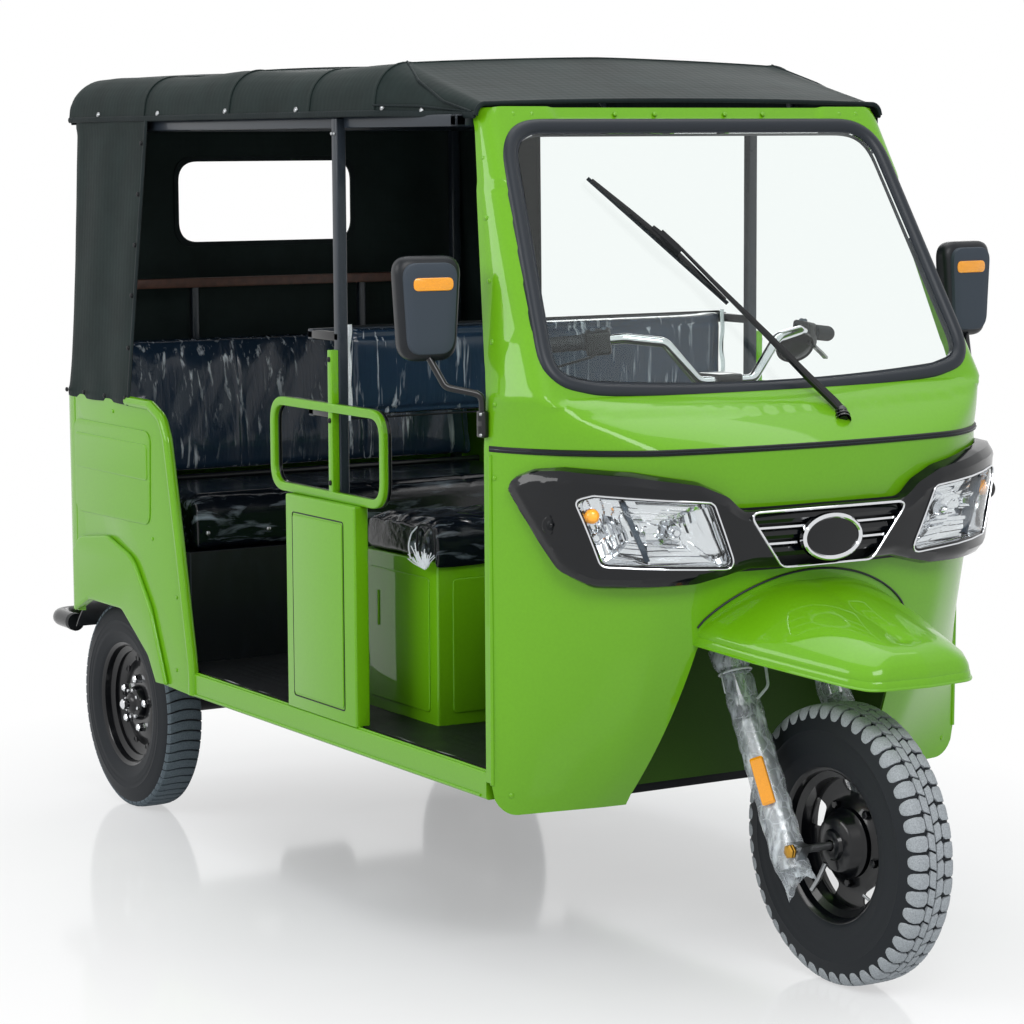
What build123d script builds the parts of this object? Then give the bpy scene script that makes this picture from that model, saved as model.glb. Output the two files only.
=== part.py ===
from build123d import *
import math
import os

os.makedirs("parts", exist_ok=True)

# Three-wheeled auto rickshaw, millimetres. The vehicle faces -Y, +X is its left, +Z is up.
# The origin is on the ground under the middle of the bounding box.

# ---- driving dimensions: body -------------------------------------------------------------
WHEELBASE = 2310.0
FRONT_AXLE_Y = -1232.0
REAR_AXLE_Y = FRONT_AXLE_Y + WHEELBASE
BODY_HALF = 600.0            # half width of the body at the sills and the belt
FLOOR_TOP = 425.0
FLOOR_THICK = 10.0
RAIL_TOP = FLOOR_TOP - FLOOR_THICK
BELT_Z = 1087.0              # height of the black belt strip on the leg shield
HEM_Z = 1757.0               # lower edge of the canopy's side hem
SHEET = 4.0                  # pressed panels
CANVAS = 4.0
SEAT_GAP = 0.3               # clearance round soft pieces

# ---- driving dimensions: wheels -----------------------------------------------------------
FRONT_TYRE_R = 286.0
REAR_TYRE_R = 267.5
TYRE_W = 112.0
RIM_LIP_R = 172.0
RIM_W = 84.0
REAR_TRACK_HALF = 509.0
AXLE_R = 8.0
STUB_R = 15.0
RUN_CLEAR = 0.05             # radial running clearance of shafts in bores

# ---- driving dimensions: steering ---------------------------------------------------------
RAKE = math.radians(28.4)    # lean of the steering axis, top to the rear
AXLE_LEAD = 48.0             # the front axle runs this far ahead of the steering axis
FORK_HALF = 115.0            # half distance between the fork legs
LEG_R = 27.0
STEM_R = 17.0
HEAD_TUBE_R = 28.0
YOKE_LOW = 440.0             # places along the steering axis, from its foot
YOKE_TOP = 472.0
HEAD_LOW = 590.0
HEAD_TOP = 770.0
STEM_TOP = 960.0
AXIS_FOOT = (0, FRONT_AXLE_Y + AXLE_LEAD * math.cos(RAKE), FRONT_TYRE_R - AXLE_LEAD * math.sin(RAKE))
STEER = Plane(origin=AXIS_FOOT, x_dir=(1, 0, 0), z_dir=(0, math.sin(RAKE), math.cos(RAKE)))

# ---- driving dimensions: leg shield and windscreen ----------------------------------------
FLANGE_Y = -832.0            # edge of the leg shield that frames the doorway
FLANGE_DEPTH = 20.0
SHIELD_FOOT_Z = 335.0
CROWN_X = BODY_HALF - 240     # half width of the gently curved middle of the shield
CORNER_X = BODY_HALF - 100    # where the shield turns to the side
SCREEN_FOOT_Y = -974.6       # lowest point of the windscreen seal
SCREEN_FOOT_Z = 1176.0
SCREEN_SLOPE = 0.537         # run to the rear per unit of rise
SCREEN_ANGLE = math.atan(SCREEN_SLOPE)
SCREEN = Plane(
    origin=(0, SCREEN_FOOT_Y, SCREEN_FOOT_Z),
    x_dir=(1, 0, 0),
    z_dir=(0, -math.cos(SCREEN_ANGLE), math.sin(SCREEN_ANGLE)),
)
SHOULDER_Z = 1190.0
HEADER_Z = 1768.0


def screen_y(z):
    """Y of the flat windscreen plane at height z."""
    return SCREEN_FOOT_Y + SCREEN_SLOPE * (z - SCREEN_FOOT_Z)


SHOULDER_Y = screen_y(SHOULDER_Z)
HEAD_Y = screen_y(HEADER_Z)
HEAD_HALF = BODY_HALF - 126

# plan sections: height, crown (x, y), y on the centre line, corner (x, y), flange (x, y)
BELT_SECTION = (BELT_Z, (CROWN_X, -1105), -1140, (CORNER_X, -1010), (BODY_HALF, FLANGE_Y))
SHIELD_SECTIONS = [
    (SHIELD_FOOT_Z, (CROWN_X, -872), -890, (CORNER_X, -848), (BODY_HALF, FLANGE_Y)),
    (600, (CROWN_X, -1018), -1052, (CORNER_X, -928), (BODY_HALF, FLANGE_Y)),
    (850, (CROWN_X, -1083), -1119, (CORNER_X, -990), (BODY_HALF, FLANGE_Y)),
    BELT_SECTION,
]
SCREEN_SECTIONS = [
    BELT_SECTION,
    (SHOULDER_Z, (BODY_HALF - 52, SHOULDER_Y), SHOULDER_Y, (BODY_HALF - 18, -920), (BODY_HALF - 2, -838)),
    (HEADER_Z, (HEAD_HALF, HEAD_Y), HEAD_Y, (HEAD_HALF + 20, HEAD_Y + 5), (HEAD_HALF + 31, HEAD_Y + 21)),
]


# ---- helpers ------------------------------------------------------------------------------
def span(x0, x1, y0, y1, z0, z1, mode=Mode.ADD):
    """Box between two corners, in the active part."""
    with Locations(((x0 + x1) / 2, (y0 + y1) / 2, (z0 + z1) / 2)):
        Box(abs(x1 - x0), y1 - y0, z1 - z0, mode=mode)


def tube(points, bend, radius):
    """Round bar along straight runs joined by arcs, in the active part."""
    with BuildLine() as route:
        FilletPolyline(*points, radius=bend) if len(points) > 2 else Line(*points)
    with BuildSketch(Plane(origin=route.line @ 0, z_dir=route.line % 0)) as section:
        Circle(radius)
    sweep(section.sketch, path=route.line)


def save(builder, name):
    """Label one finished piece and write it."""
    builder.part.label = name
    export_step(builder.part, f"parts/{name}.step")


def shield_face(section, inset, depth):
    """Plan outline of the leg shield, moved in by inset, closed depth behind the flange."""
    z, crown, middle, corner, flange = section
    side = inset if inset > 0 else 0.15 * inset
    front = (crown[0] - 0.3 * max(inset, 0), crown[1] + inset)
    bend = (corner[0] - 0.7 * inset, corner[1] + 0.7 * inset)
    edge = (flange[0] - side, flange[1])
    with BuildSketch(Plane.XY.offset(z)) as plan:
        with BuildLine():
            if middle == crown[1]:
                Line((-front[0], front[1]), front)
            else:
                ThreePointArc((-front[0], front[1]), (0, middle + inset), front)
            ThreePointArc(front, bend, edge)
            Polyline(edge, (edge[0], edge[1] + depth), (-edge[0], edge[1] + depth), (-edge[0], edge[1]))
            ThreePointArc((-edge[0], edge[1]), (-bend[0], bend[1]), (-front[0], front[1]))
        make_face()
    return plan.sketch


def shield_block(inset, depth):
    """Everything behind the lower shield's face, as one block."""
    with BuildPart() as block:
        loft([shield_face(section, inset, depth) for section in SHIELD_SECTIONS])
    return block.part


def screen_block(inset, depth):
    """Everything behind the windscreen surround's face, as one block."""
    with BuildPart() as block:
        loft([shield_face(section, inset, depth) for section in SCREEN_SECTIONS], ruled=True)
    return block.part


LOWER_BLOCK = shield_block(0, FLANGE_DEPTH)
UPPER_BLOCK = screen_block(0, FLANGE_DEPTH)

# ---- windscreen ---------------------------------------------------------------------------
SEAL_TOP = 644.0             # height of the seal's outline, measured up the screen
SEAL_TOP_HALF = BODY_HALF - 116
SEAL_LOW_HALF = BODY_HALF - 52
SEAL_BOW = 28.0              # the lower edge bows down in the middle
SEAL_W = 34.0
SEAL_RADII = (105.0, 85.0)   # upper and lower corners
SEAL_OUT = 12.0              # the seal stands this far in front of the screen plane
SEAL_IN = 16.0
GLASS_THICK = 6.0


def screen_outline(height, inset):
    """Rounded outline of the windscreen, at a height above its plane."""
    with BuildSketch(SCREEN.offset(height)) as outline:
        with BuildLine():
            low = (SEAL_LOW_HALF - inset, SEAL_BOW + inset)
            top = (SEAL_TOP_HALF - inset, SEAL_TOP - inset)
            ThreePointArc((-low[0], low[1]), (0, inset), low)
            Polyline(low, top, (-top[0], top[1]), (-low[0], low[1]))
        make_face()
        corners = outline.vertices().group_by(Axis.Y)
        fillet(corners[-1], SEAL_RADII[0] - inset)
        fillet(outline.vertices().group_by(Axis.Y)[0], SEAL_RADII[1] - inset)
    return outline.sketch


# ---- wheel recess and fork opening --------------------------------------------------------
RECESS = [(303, 360), (253, 690), (190, 765), (-190, 765), (-253, 690), (-303, 360)]
RECESS_CUT = [(303, SHIELD_FOOT_Z - 10), (303, 360), (253, 690), (190, 765)]
RECESS_BACK_Y = -819.0       # rear face of the recess's back wall

# ---- headlamps ----------------------------------------------------------------------------
FRONT_VIEW = Plane.XZ.offset(700)  # outlines drawn here are pushed forward through the shield
PUSH = 560.0
MASK_PROUD = 45.0
LENS_THICK = 4.0
LAMP_DEPTH = 60.0
# half outlines in front view, x and z
GRILLE_X = 205.0
MASK_HALF = [
    (0, 972), (GRILLE_X, 970), (GRILLE_X + 35, 1003), (BODY_HALF - 300, 1029), (BODY_HALF - 160, 1052),
    (BODY_HALF - 52, 1056), (BODY_HALF + 2, 1032), (BODY_HALF - 32, 903), (BODY_HALF - 94, 828),
    (BODY_HALF - 200, 817), (BODY_HALF - 302, 819), (GRILLE_X - 25, 846), (0, 840),
]
LENS_HALF = [
    (BODY_HALF - 375, 858), (BODY_HALF - 317, 986), (CORNER_X, 1005), (BODY_HALF - 73, 996),
    (BODY_HALF - 118, 872),
]


def lens_outline(side, inset):
    """Lamp outline in front view, behind the shield."""
    with BuildSketch(FRONT_VIEW) as outline:
        with BuildLine():
            Polyline(*[(side * x, z) for x, z in LENS_HALF], close=True)
        make_face()
        fillet(outline.vertices(), 12 + inset)
        offset(amount=-inset)
    return outline.sketch


# ==== chassis ==============================================================================
RAIL_X = 300.0
RAIL_HALF = 20.0
RAIL_LOW = 355.0
RAIL_FRONT = -790.0
RAIL_REAR = REAR_AXLE_Y + 248
SILL_INNER = BODY_HALF - 40
EDGE = 15.0                  # sill flange beside the floor
BENCH_FRONT = REAR_AXLE_Y - 380
SIDE_FRONT = REAR_AXLE_Y - 503
PLATE = 4.0
HEAD_POST = (-815.0, -765.0)

with BuildPart() as chassis_frame:
    for side in (-1, 1):
        centre = side * RAIL_X
        span(centre - RAIL_HALF, centre + RAIL_HALF, RAIL_FRONT, RAIL_REAR, RAIL_LOW, RAIL_TOP)
    span(-SILL_INNER + 90, SILL_INNER - 90, RAIL_FRONT - 22, RAIL_FRONT + 18, RAIL_LOW - 15, RAIL_TOP)
    # cross members: y centre and half width
    members = [(-300, SILL_INNER), (200, SILL_INNER), (BENCH_FRONT - 48, SILL_INNER)]
    members.append((RAIL_REAR - 26, RAIL_X))
    for y, half in members:
        span(-half, half, y - 20, y + 20, RAIL_LOW + 10, RAIL_TOP)
    span(-30, 30, *HEAD_POST, RAIL_TOP, AXIS_FOOT[2] + 662)
    head_centre = (HEAD_LOW + HEAD_TOP) / 2
    with Locations(STEER.location):
        with Locations((0, 0, head_centre)):
            Cylinder(HEAD_TUBE_R, HEAD_TOP - HEAD_LOW)
    span(-5, 5, AXIS_FOOT[1] + 285, HEAD_POST[0] + 5, AXIS_FOOT[2] + 552, AXIS_FOOT[2] + 652)
    with Locations(STEER.location):
        with Locations((0, 0, head_centre)):
            Cylinder(STEM_R + RUN_CLEAR, HEAD_TOP - HEAD_LOW + 2, mode=Mode.SUBTRACT)
    # spring hangers under the rails
    for side in (-1, 1):
        for y in (REAR_AXLE_Y - 300, REAR_AXLE_Y + 235):
            span(side * RAIL_X - 22, side * RAIL_X + 22, y - 10, y + 10, 341, RAIL_LOW)
save(chassis_frame, "chassis_frame")

with BuildPart() as floor_pan:
    span(-BODY_HALF + EDGE, BODY_HALF - EDGE, RECESS_BACK_Y, BENCH_FRONT + PLATE, RAIL_TOP, FLOOR_TOP)
    span(-30, 30, *HEAD_POST, RAIL_TOP, FLOOR_TOP, mode=Mode.SUBTRACT)
save(floor_pan, "floor_pan")

SILL_LOW = 367.0
with BuildPart() as side_sills:
    span(SILL_INNER, BODY_HALF, FLANGE_Y + FLANGE_DEPTH, SIDE_FRONT, SILL_LOW, RAIL_TOP)
    span(BODY_HALF - EDGE, BODY_HALF, FLANGE_Y + FLANGE_DEPTH, SIDE_FRONT, RAIL_TOP, FLOOR_TOP)
    mirror(about=Plane.YZ)
save(side_sills, "side_sills")

# ==== leg shield ===========================================================================
LOWER_CORE = shield_block(SHEET, 3 * FLANGE_DEPTH)
UPPER_CORE = screen_block(SHEET, 3 * FLANGE_DEPTH)
with BuildPart() as front_fascia:
    add(LOWER_BLOCK)
    add(UPPER_BLOCK)
    add(LOWER_CORE, mode=Mode.SUBTRACT)
    add(UPPER_CORE, mode=Mode.SUBTRACT)
    extrude(screen_outline(-80, 0), amount=160, mode=Mode.SUBTRACT)
    with BuildSketch(FRONT_VIEW):
        with BuildLine():
            right = RECESS_CUT
            Polyline(*right, *[(-x, z) for x, z in reversed(right)], close=True)
        make_face()
    extrude(amount=PUSH, mode=Mode.SUBTRACT)
    for side in (-1, 1):
        extrude(lens_outline(side, 0), amount=PUSH, mode=Mode.SUBTRACT)
save(front_fascia, "front_fascia")

STEM_HOLE_R = 38.0
with BuildPart() as wheel_arch_liner:
    with BuildSketch(Plane.XZ.offset(-RECESS_BACK_Y)):
        with BuildLine():
            Polyline(*RECESS, close=True)
        make_face()
    extrude(amount=340)
    with BuildSketch(Plane.XZ.offset(-RECESS_BACK_Y + 3)):
        with BuildLine():
            Polyline((300, 355), (250, 688), (188, 762), (-188, 762), (-250, 688), (-300, 355), close=True)
        make_face()
    extrude(amount=340, mode=Mode.SUBTRACT)
    with Locations(STEER.location):
        with Locations((0, 0, HEAD_LOW)):
            Cylinder(STEM_HOLE_R, 200, mode=Mode.SUBTRACT)
    add(LOWER_CORE, mode=Mode.INTERSECT)
save(wheel_arch_liner, "wheel_arch_liner")

# height of the sections: y, half width, z of the lower edge, of the crease and of the crown
FENDER_SECTIONS = [
    (-1040, 266, 694, 728, 833),
    (-1456, 130, 643, 679, 702),
    (-1478, 96, 645, 677, 694),
]


def fender_block(inset, drop):
    """Loft through the fender's sections; drop opens it below."""
    with BuildPart() as block:
        for index, (y, half, low, crease, crown) in enumerate(FENDER_SECTIONS):
            ahead = inset if index == 2 else 0
            edge = half - inset
            shoulder = (edge - 4, crease - inset)
            with BuildSketch(Plane.XZ.offset(-y - ahead)):
                with BuildLine():
                    Polyline((-shoulder[0], shoulder[1]), (-edge, low - drop), (edge, low - drop), shoulder)
                    ThreePointArc(shoulder, (0, crown - inset), (-shoulder[0], shoulder[1]))
                make_face()
        loft(ruled=True)
    return block.part


FENDER_CORE = fender_block(SHEET, 20)
with BuildPart() as front_fender:
    add(fender_block(0, 0))
    add(FENDER_CORE, mode=Mode.SUBTRACT)
    add(LOWER_BLOCK, mode=Mode.SUBTRACT)
save(front_fender, "front_fender")

BELT_HALF_H = 9.0
BELT_PROUD = 6.0
with BuildPart() as belt_trim:
    belt_plan = shield_face((BELT_Z - BELT_HALF_H, *BELT_SECTION[1:]), -BELT_PROUD, FLANGE_DEPTH)
    extrude(belt_plan, amount=2 * BELT_HALF_H)
    add(LOWER_BLOCK, mode=Mode.SUBTRACT)
    add(UPPER_BLOCK, mode=Mode.SUBTRACT)
    span(-BODY_HALF - 50, BODY_HALF + 50, -850, -700, 1000, 1200, mode=Mode.SUBTRACT)
save(belt_trim, "belt_trim")

with BuildPart() as windscreen_seal:
    extrude(screen_outline(-SEAL_IN, 0), amount=SEAL_IN + SEAL_OUT)
    extrude(screen_outline(-SEAL_IN, SEAL_W), amount=SEAL_IN + SEAL_OUT, mode=Mode.SUBTRACT)
save(windscreen_seal, "windscreen_seal")

with BuildPart() as windscreen_glass:
    extrude(screen_outline(-GLASS_THICK / 2, SEAL_W), amount=GLASS_THICK)
save(windscreen_glass, "windscreen_glass")

# ==== headlamps ============================================================================
MASK_BLOCK = shield_block(-MASK_PROUD, FLANGE_DEPTH)
with BuildPart() as headlamp_mask:
    with BuildSketch(FRONT_VIEW):
        with BuildLine():
            left = [(-x, z) for x, z in reversed(MASK_HALF[1:-1])]
            Polyline(*MASK_HALF, *left, close=True)
        make_face()
    extrude(amount=PUSH)
    add(MASK_BLOCK, mode=Mode.INTERSECT)
    add(LOWER_BLOCK, mode=Mode.SUBTRACT)
    for side in (-1, 1):
        extrude(lens_outline(side, 0), amount=PUSH, mode=Mode.SUBTRACT)
save(headlamp_mask, "headlamp_mask")

LENS_CORE = shield_block(LENS_THICK - MASK_PROUD, FLANGE_DEPTH)
with BuildPart() as headlamp_lenses:
    for side in (-1, 1):
        extrude(lens_outline(side, 0), amount=PUSH)
    add(MASK_BLOCK, mode=Mode.INTERSECT)
    add(LENS_CORE, mode=Mode.SUBTRACT)
save(headlamp_lenses, "headlamp_lenses")

REFLECTOR_BACK = shield_block(LAMP_DEPTH - MASK_PROUD, FLANGE_DEPTH)
with BuildPart() as headlamp_reflectors:
    for side in (-1, 1):
        extrude(lens_outline(side, SEAT_GAP), amount=PUSH)
    add(LENS_CORE, mode=Mode.INTERSECT)
    add(REFLECTOR_BACK, mode=Mode.SUBTRACT)
    for side in (-1, 1):
        with Locations((side * (BODY_HALF - 255), -1150, 926)):
            Sphere(52, mode=Mode.SUBTRACT)
        with Locations((side * (BODY_HALF - 138), -1085, 926)):
            Sphere(46, mode=Mode.SUBTRACT)
save(headlamp_reflectors, "headlamp_reflectors")

OVAL = (74.0, 46.0)
with BuildPart() as grille_trim:
    for z in (957, 905, 860):
        extrude(shield_face((z, *SHIELD_SECTIONS[2][1:]), -MASK_PROUD - 12, FLANGE_DEPTH), amount=5)
    span(-BODY_HALF - 50, BODY_HALF + 50, -1130, -700, 800, 1000, mode=Mode.SUBTRACT)
    for side in (-1, 1):
        span(side * GRILLE_X, side * (BODY_HALF + 50), -1300, -700, 800, 1000, mode=Mode.SUBTRACT)
    with BuildSketch(Plane.XZ.offset(1100)):
        with Locations((0, 905)):
            Ellipse(*OVAL)
    extrude(amount=90)
    with BuildSketch(Plane.XZ.offset(1100)):
        with Locations((0, 905)):
            Ellipse(OVAL[0] - 9, OVAL[1] - 9)
    extrude(amount=90, mode=Mode.SUBTRACT)
    add(MASK_BLOCK, mode=Mode.SUBTRACT)
save(grille_trim, "grille_trim")

# ==== cabin ================================================================================
PANEL_INNER = BODY_HALF - 36         # centre side panel, inner and outer x
PANEL_TOP = 913.0
PANEL_Y = (-257.0, 71.0)
LOOP_OUTER = BODY_HALF - 16
LOOP_Y = (-362.0, 175.0)
LOOP_TOP = 1128.0
LOOP_BAR = 20.0
POST_INNER = BODY_HALF - 60
POST_Y = (-129.0, -105.0)
STUB_TOP = 1246.0

with BuildPart() as centre_side_panels:
    span(PANEL_INNER, BODY_HALF, *PANEL_Y, FLOOR_TOP, PANEL_TOP)
    mirror(about=Plane.YZ)
save(centre_side_panels, "centre_side_panels")

with BuildPart() as grab_loops:
    loop_centre = ((LOOP_Y[0] + LOOP_Y[1]) / 2, (PANEL_TOP + LOOP_TOP) / 2)
    loop_size = (LOOP_Y[1] - LOOP_Y[0], LOOP_TOP - PANEL_TOP)
    with BuildSketch(Plane.YZ.offset(PANEL_INNER)):
        with Locations(loop_centre):
            RectangleRounded(*loop_size, 62)
            RectangleRounded(loop_size[0] - 2 * LOOP_BAR, loop_size[1] - 2 * LOOP_BAR, 42, mode=Mode.SUBTRACT)
    extrude(amount=LOOP_OUTER - PANEL_INNER)
    span(PANEL_INNER, LOOP_OUTER, POST_Y[0] + 2, POST_Y[1] - 2, PANEL_TOP, STUB_TOP)
    mirror(about=Plane.YZ)
save(grab_loops, "grab_loops")

WALL = 15.0                  # rear side panels
RAIL_TUBE = (BODY_HALF - 80, BODY_HALF - 55)   # roof rails, inner and outer x
RAIL_TUBE_Z = (1730.0, 1755.0)
HEADER_Y = (-616.0, -591.0)  # header tube behind the top of the windscreen surround
REAR_POST_Y = (REAR_AXLE_Y + 180, REAR_AXLE_Y + 205)
BACKREST_BAR_Y = (-5.0, 20.0)
BOW_Y = (-305.0, 480.0, REAR_AXLE_Y + 122)
BACKREST_BAR_Z = (1090.0, 1262.0)
BAR = 24.0
BOW_R = 10.0
with BuildPart() as cab_frame:
    # posts, rails and backrest arms of one side
    span(POST_INNER, PANEL_INNER, *POST_Y, FLOOR_TOP, RAIL_TUBE_Z[1])
    span(*RAIL_TUBE, HEADER_Y[0], REAR_POST_Y[1], *RAIL_TUBE_Z)
    span(BODY_HALF - 67, BODY_HALF - 42, *REAR_POST_Y, 600, RAIL_TUBE_Z[1])
    span(BODY_HALF - 67, BODY_HALF - WALL, *REAR_POST_Y, 600, 640)
    for z in BACKREST_BAR_Z:
        span(POST_INNER, PANEL_INNER, POST_Y[0], BACKREST_BAR_Y[1], z, z + BAR)
    mirror(about=Plane.YZ)
    # cross tubes
    span(-RAIL_TUBE[1], RAIL_TUBE[1], *HEADER_Y, *RAIL_TUBE_Z)
    span(-RAIL_TUBE[0], RAIL_TUBE[0], REAR_POST_Y[0], REAR_POST_Y[1], *RAIL_TUBE_Z)
    span(-POST_INNER, POST_INNER, REAR_POST_Y[0], REAR_POST_Y[1], 1322, 1347)
    for z in BACKREST_BAR_Z:
        span(-PANEL_INNER, PANEL_INNER, *BACKREST_BAR_Y, z, z + BAR)
    # roof bows
    for y in BOW_Y:
        rail = (RAIL_TUBE[0] + RAIL_TUBE[1]) / 2
        half_bow = [(rail - 78, y, 1848), (rail, y, 1792), (rail, y, 1745)]
        tube([(-x, y, z) for x, y, z in reversed(half_bow)] + half_bow, 30, BOW_R)
save(cab_frame, "cab_frame")

# ==== canopy ===============================================================================
ROOF_REAR_Y = REAR_AXLE_Y + 267
# y, hem, side, bend and shoulder as (distance in from the body's side, z), z of the ridge
ROOF_SECTIONS = [
    (HEAD_Y, 70, (72, 1766), (79, 1776), (95, 1780), 1786),
    (-305, 35, (40, 1795), (64, 1843), (134, 1866), 1880),
    (ROOF_REAR_Y, 35, (40, 1795), (64, 1843), (134, 1866), 1880),
]


def roof_block(inset, ends):
    """Loft through the canopy's sections; ends holds the front and rear insets."""
    with BuildPart() as block:
        faces = []
        for index, (y, hem, side, bend, shoulder, ridge) in enumerate(ROOF_SECTIONS):
            place = y + (ends[0] if index == 0 else 0) - (ends[1] if index == 2 else 0)
            points = [(BODY_HALF - x - 0.7 * inset, z - 0.7 * inset) for x, z in (side, bend, shoulder)]
            edge = BODY_HALF - hem - inset
            left = [(-x, z) for x, z in points]
            with BuildSketch(Plane.XZ.offset(-place)) as section:
                with BuildLine():
                    foot = HEM_Z - inset
                    Polyline(left[0], (-edge, foot), (edge, foot), points[0])
                    ThreePointArc(*points)
                    ThreePointArc(points[2], (0, ridge - inset), left[2])
                    ThreePointArc(left[2], left[1], left[0])
                make_face()
            faces.append(section.sketch)
        loft(faces, ruled=True)
    return block.part


with BuildPart() as canopy_roof:
    add(roof_block(0, (0, 0)))
    add(roof_block(CANVAS, (CANVAS, CANVAS)), mode=Mode.SUBTRACT)
    add(UPPER_BLOCK, mode=Mode.SUBTRACT)
save(canopy_roof, "canopy_roof")

CURTAIN_LOW = 1055.0
# height, outer half width, y of the front edge
CURTAIN_SECTIONS = [
    (CURTAIN_LOW, BODY_HALF + CANVAS, REAR_AXLE_Y - 194),
    (CURTAIN_LOW + 11, BODY_HALF + CANVAS, REAR_AXLE_Y - 195),
    (HEM_Z, BODY_HALF - 35, REAR_AXLE_Y - 240),
]
CORNER_R = 60.0


def corner_plan(z, half, front, rear, radius):
    """U-shaped plan outline with two rounded rear corners."""
    run = radius * math.cos(math.radians(45))
    corner = (half - radius, rear - radius)
    with BuildSketch(Plane.XY.offset(z)) as plan:
        with BuildLine():
            Polyline((-half, corner[1]), (-half, front), (half, front), (half, corner[1]))
            ThreePointArc((half, corner[1]), (corner[0] + run, corner[1] + run), (corner[0], rear))
            Line((corner[0], rear), (-corner[0], rear))
            ThreePointArc((-corner[0], rear), (-corner[0] - run, corner[1] + run), (-half, corner[1]))
        make_face()
    return plan.sketch


def curtain_block(inset, ahead):
    """Loft behind the curtain's outer face."""
    with BuildPart() as block:
        faces = []
        for z, half, front in CURTAIN_SECTIONS:
            faces.append(corner_plan(z, half - inset, front - ahead, ROOF_REAR_Y - inset, CORNER_R - inset))
        loft(faces, ruled=True)
    return block.part


WINDOW_SIZE = (520.0, 215.0)
WINDOW_Z = 1545.0
with BuildPart() as rear_curtain:
    add(curtain_block(0, 0))
    add(curtain_block(CANVAS, 80), mode=Mode.SUBTRACT)
    with BuildSketch(Plane.XZ.offset(-ROOF_REAR_Y - 10)):
        with Locations((0, WINDOW_Z)):
            RectangleRounded(*WINDOW_SIZE, 55)
    extrude(amount=40, mode=Mode.SUBTRACT)
save(rear_curtain, "rear_curtain")

# ==== rear body ============================================================================
REAR_WALL = 15.0
TAIL_Y = ROOF_REAR_Y - CANVAS
SIDE_END = TAIL_Y - CORNER_R - 8
BODY_TOP = 1062.0
# y from the rear axle, z
SIDE_OUTLINE = [
    (-503, 367), (-310, 372), (-265, 437), (-107, 535), (101, 534), (SIDE_END - REAR_AXLE_Y, 492),
    (SIDE_END - REAR_AXLE_Y, BODY_TOP), (-284, BODY_TOP), (-352, 1032), (-379, 983), (-441, 720), (-503, 433),
]
with BuildPart() as rear_side_panels:
    with BuildSketch(Plane.YZ.offset(BODY_HALF - WALL)):
        with BuildLine():
            Polyline(*[(REAR_AXLE_Y + y, z) for y, z in SIDE_OUTLINE], close=True)
        make_face()
    extrude(amount=WALL)
    mirror(about=Plane.YZ)
save(rear_side_panels, "rear_side_panels")

TAIL_LOW = 492.0
PLATE_HOLE_R = 3.3
PLATE_HOLE_X = 100.0
PLATE_Z = 640.0
with BuildPart() as rear_panel:
    radius = CORNER_R - CANVAS
    extrude(corner_plan(TAIL_LOW, BODY_HALF, SIDE_END, TAIL_Y, radius), amount=BODY_TOP - TAIL_LOW)
    core = corner_plan(TAIL_LOW, BODY_HALF - REAR_WALL, SIDE_END - 50, TAIL_Y - REAR_WALL, radius - REAR_WALL)
    extrude(core, amount=BODY_TOP - TAIL_LOW, mode=Mode.SUBTRACT)
    with Locations((PLATE_HOLE_X, TAIL_Y, PLATE_Z), (-PLATE_HOLE_X, TAIL_Y, PLATE_Z)):
        Cylinder(PLATE_HOLE_R, 4 * REAR_WALL, rotation=(90, 0, 0), mode=Mode.SUBTRACT)
save(rear_panel, "rear_panel")

with BuildPart() as tail_lamps:
    span(BODY_HALF - 170, BODY_HALF - 90, TAIL_Y, TAIL_Y + 26, 760, 900)
    fillet(tail_lamps.edges().filter_by(Axis.Y), 18)
    mirror(about=Plane.YZ)
save(tail_lamps, "tail_lamps")

BUMPER_Y = ROOF_REAR_Y + 151
BUMPER_X = BODY_HALF - 30
BUMPER_R = 22.0
BUMPER_Z = 445.0
with BuildPart() as rear_bumper:
    half_bumper = [(BUMPER_X, BUMPER_Y, BUMPER_Z), (BUMPER_X, ROOF_REAR_Y + 17, BUMPER_Z)]
    tube([(-x, y, z) for x, y, z in reversed(half_bumper)] + half_bumper, 55, BUMPER_R)
    for side in (-1, 1):
        span(side * RAIL_X - 8, side * RAIL_X + 8, RAIL_REAR, BUMPER_Y, RAIL_TOP - 40, BUMPER_Z)
save(rear_bumper, "rear_bumper")

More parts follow.
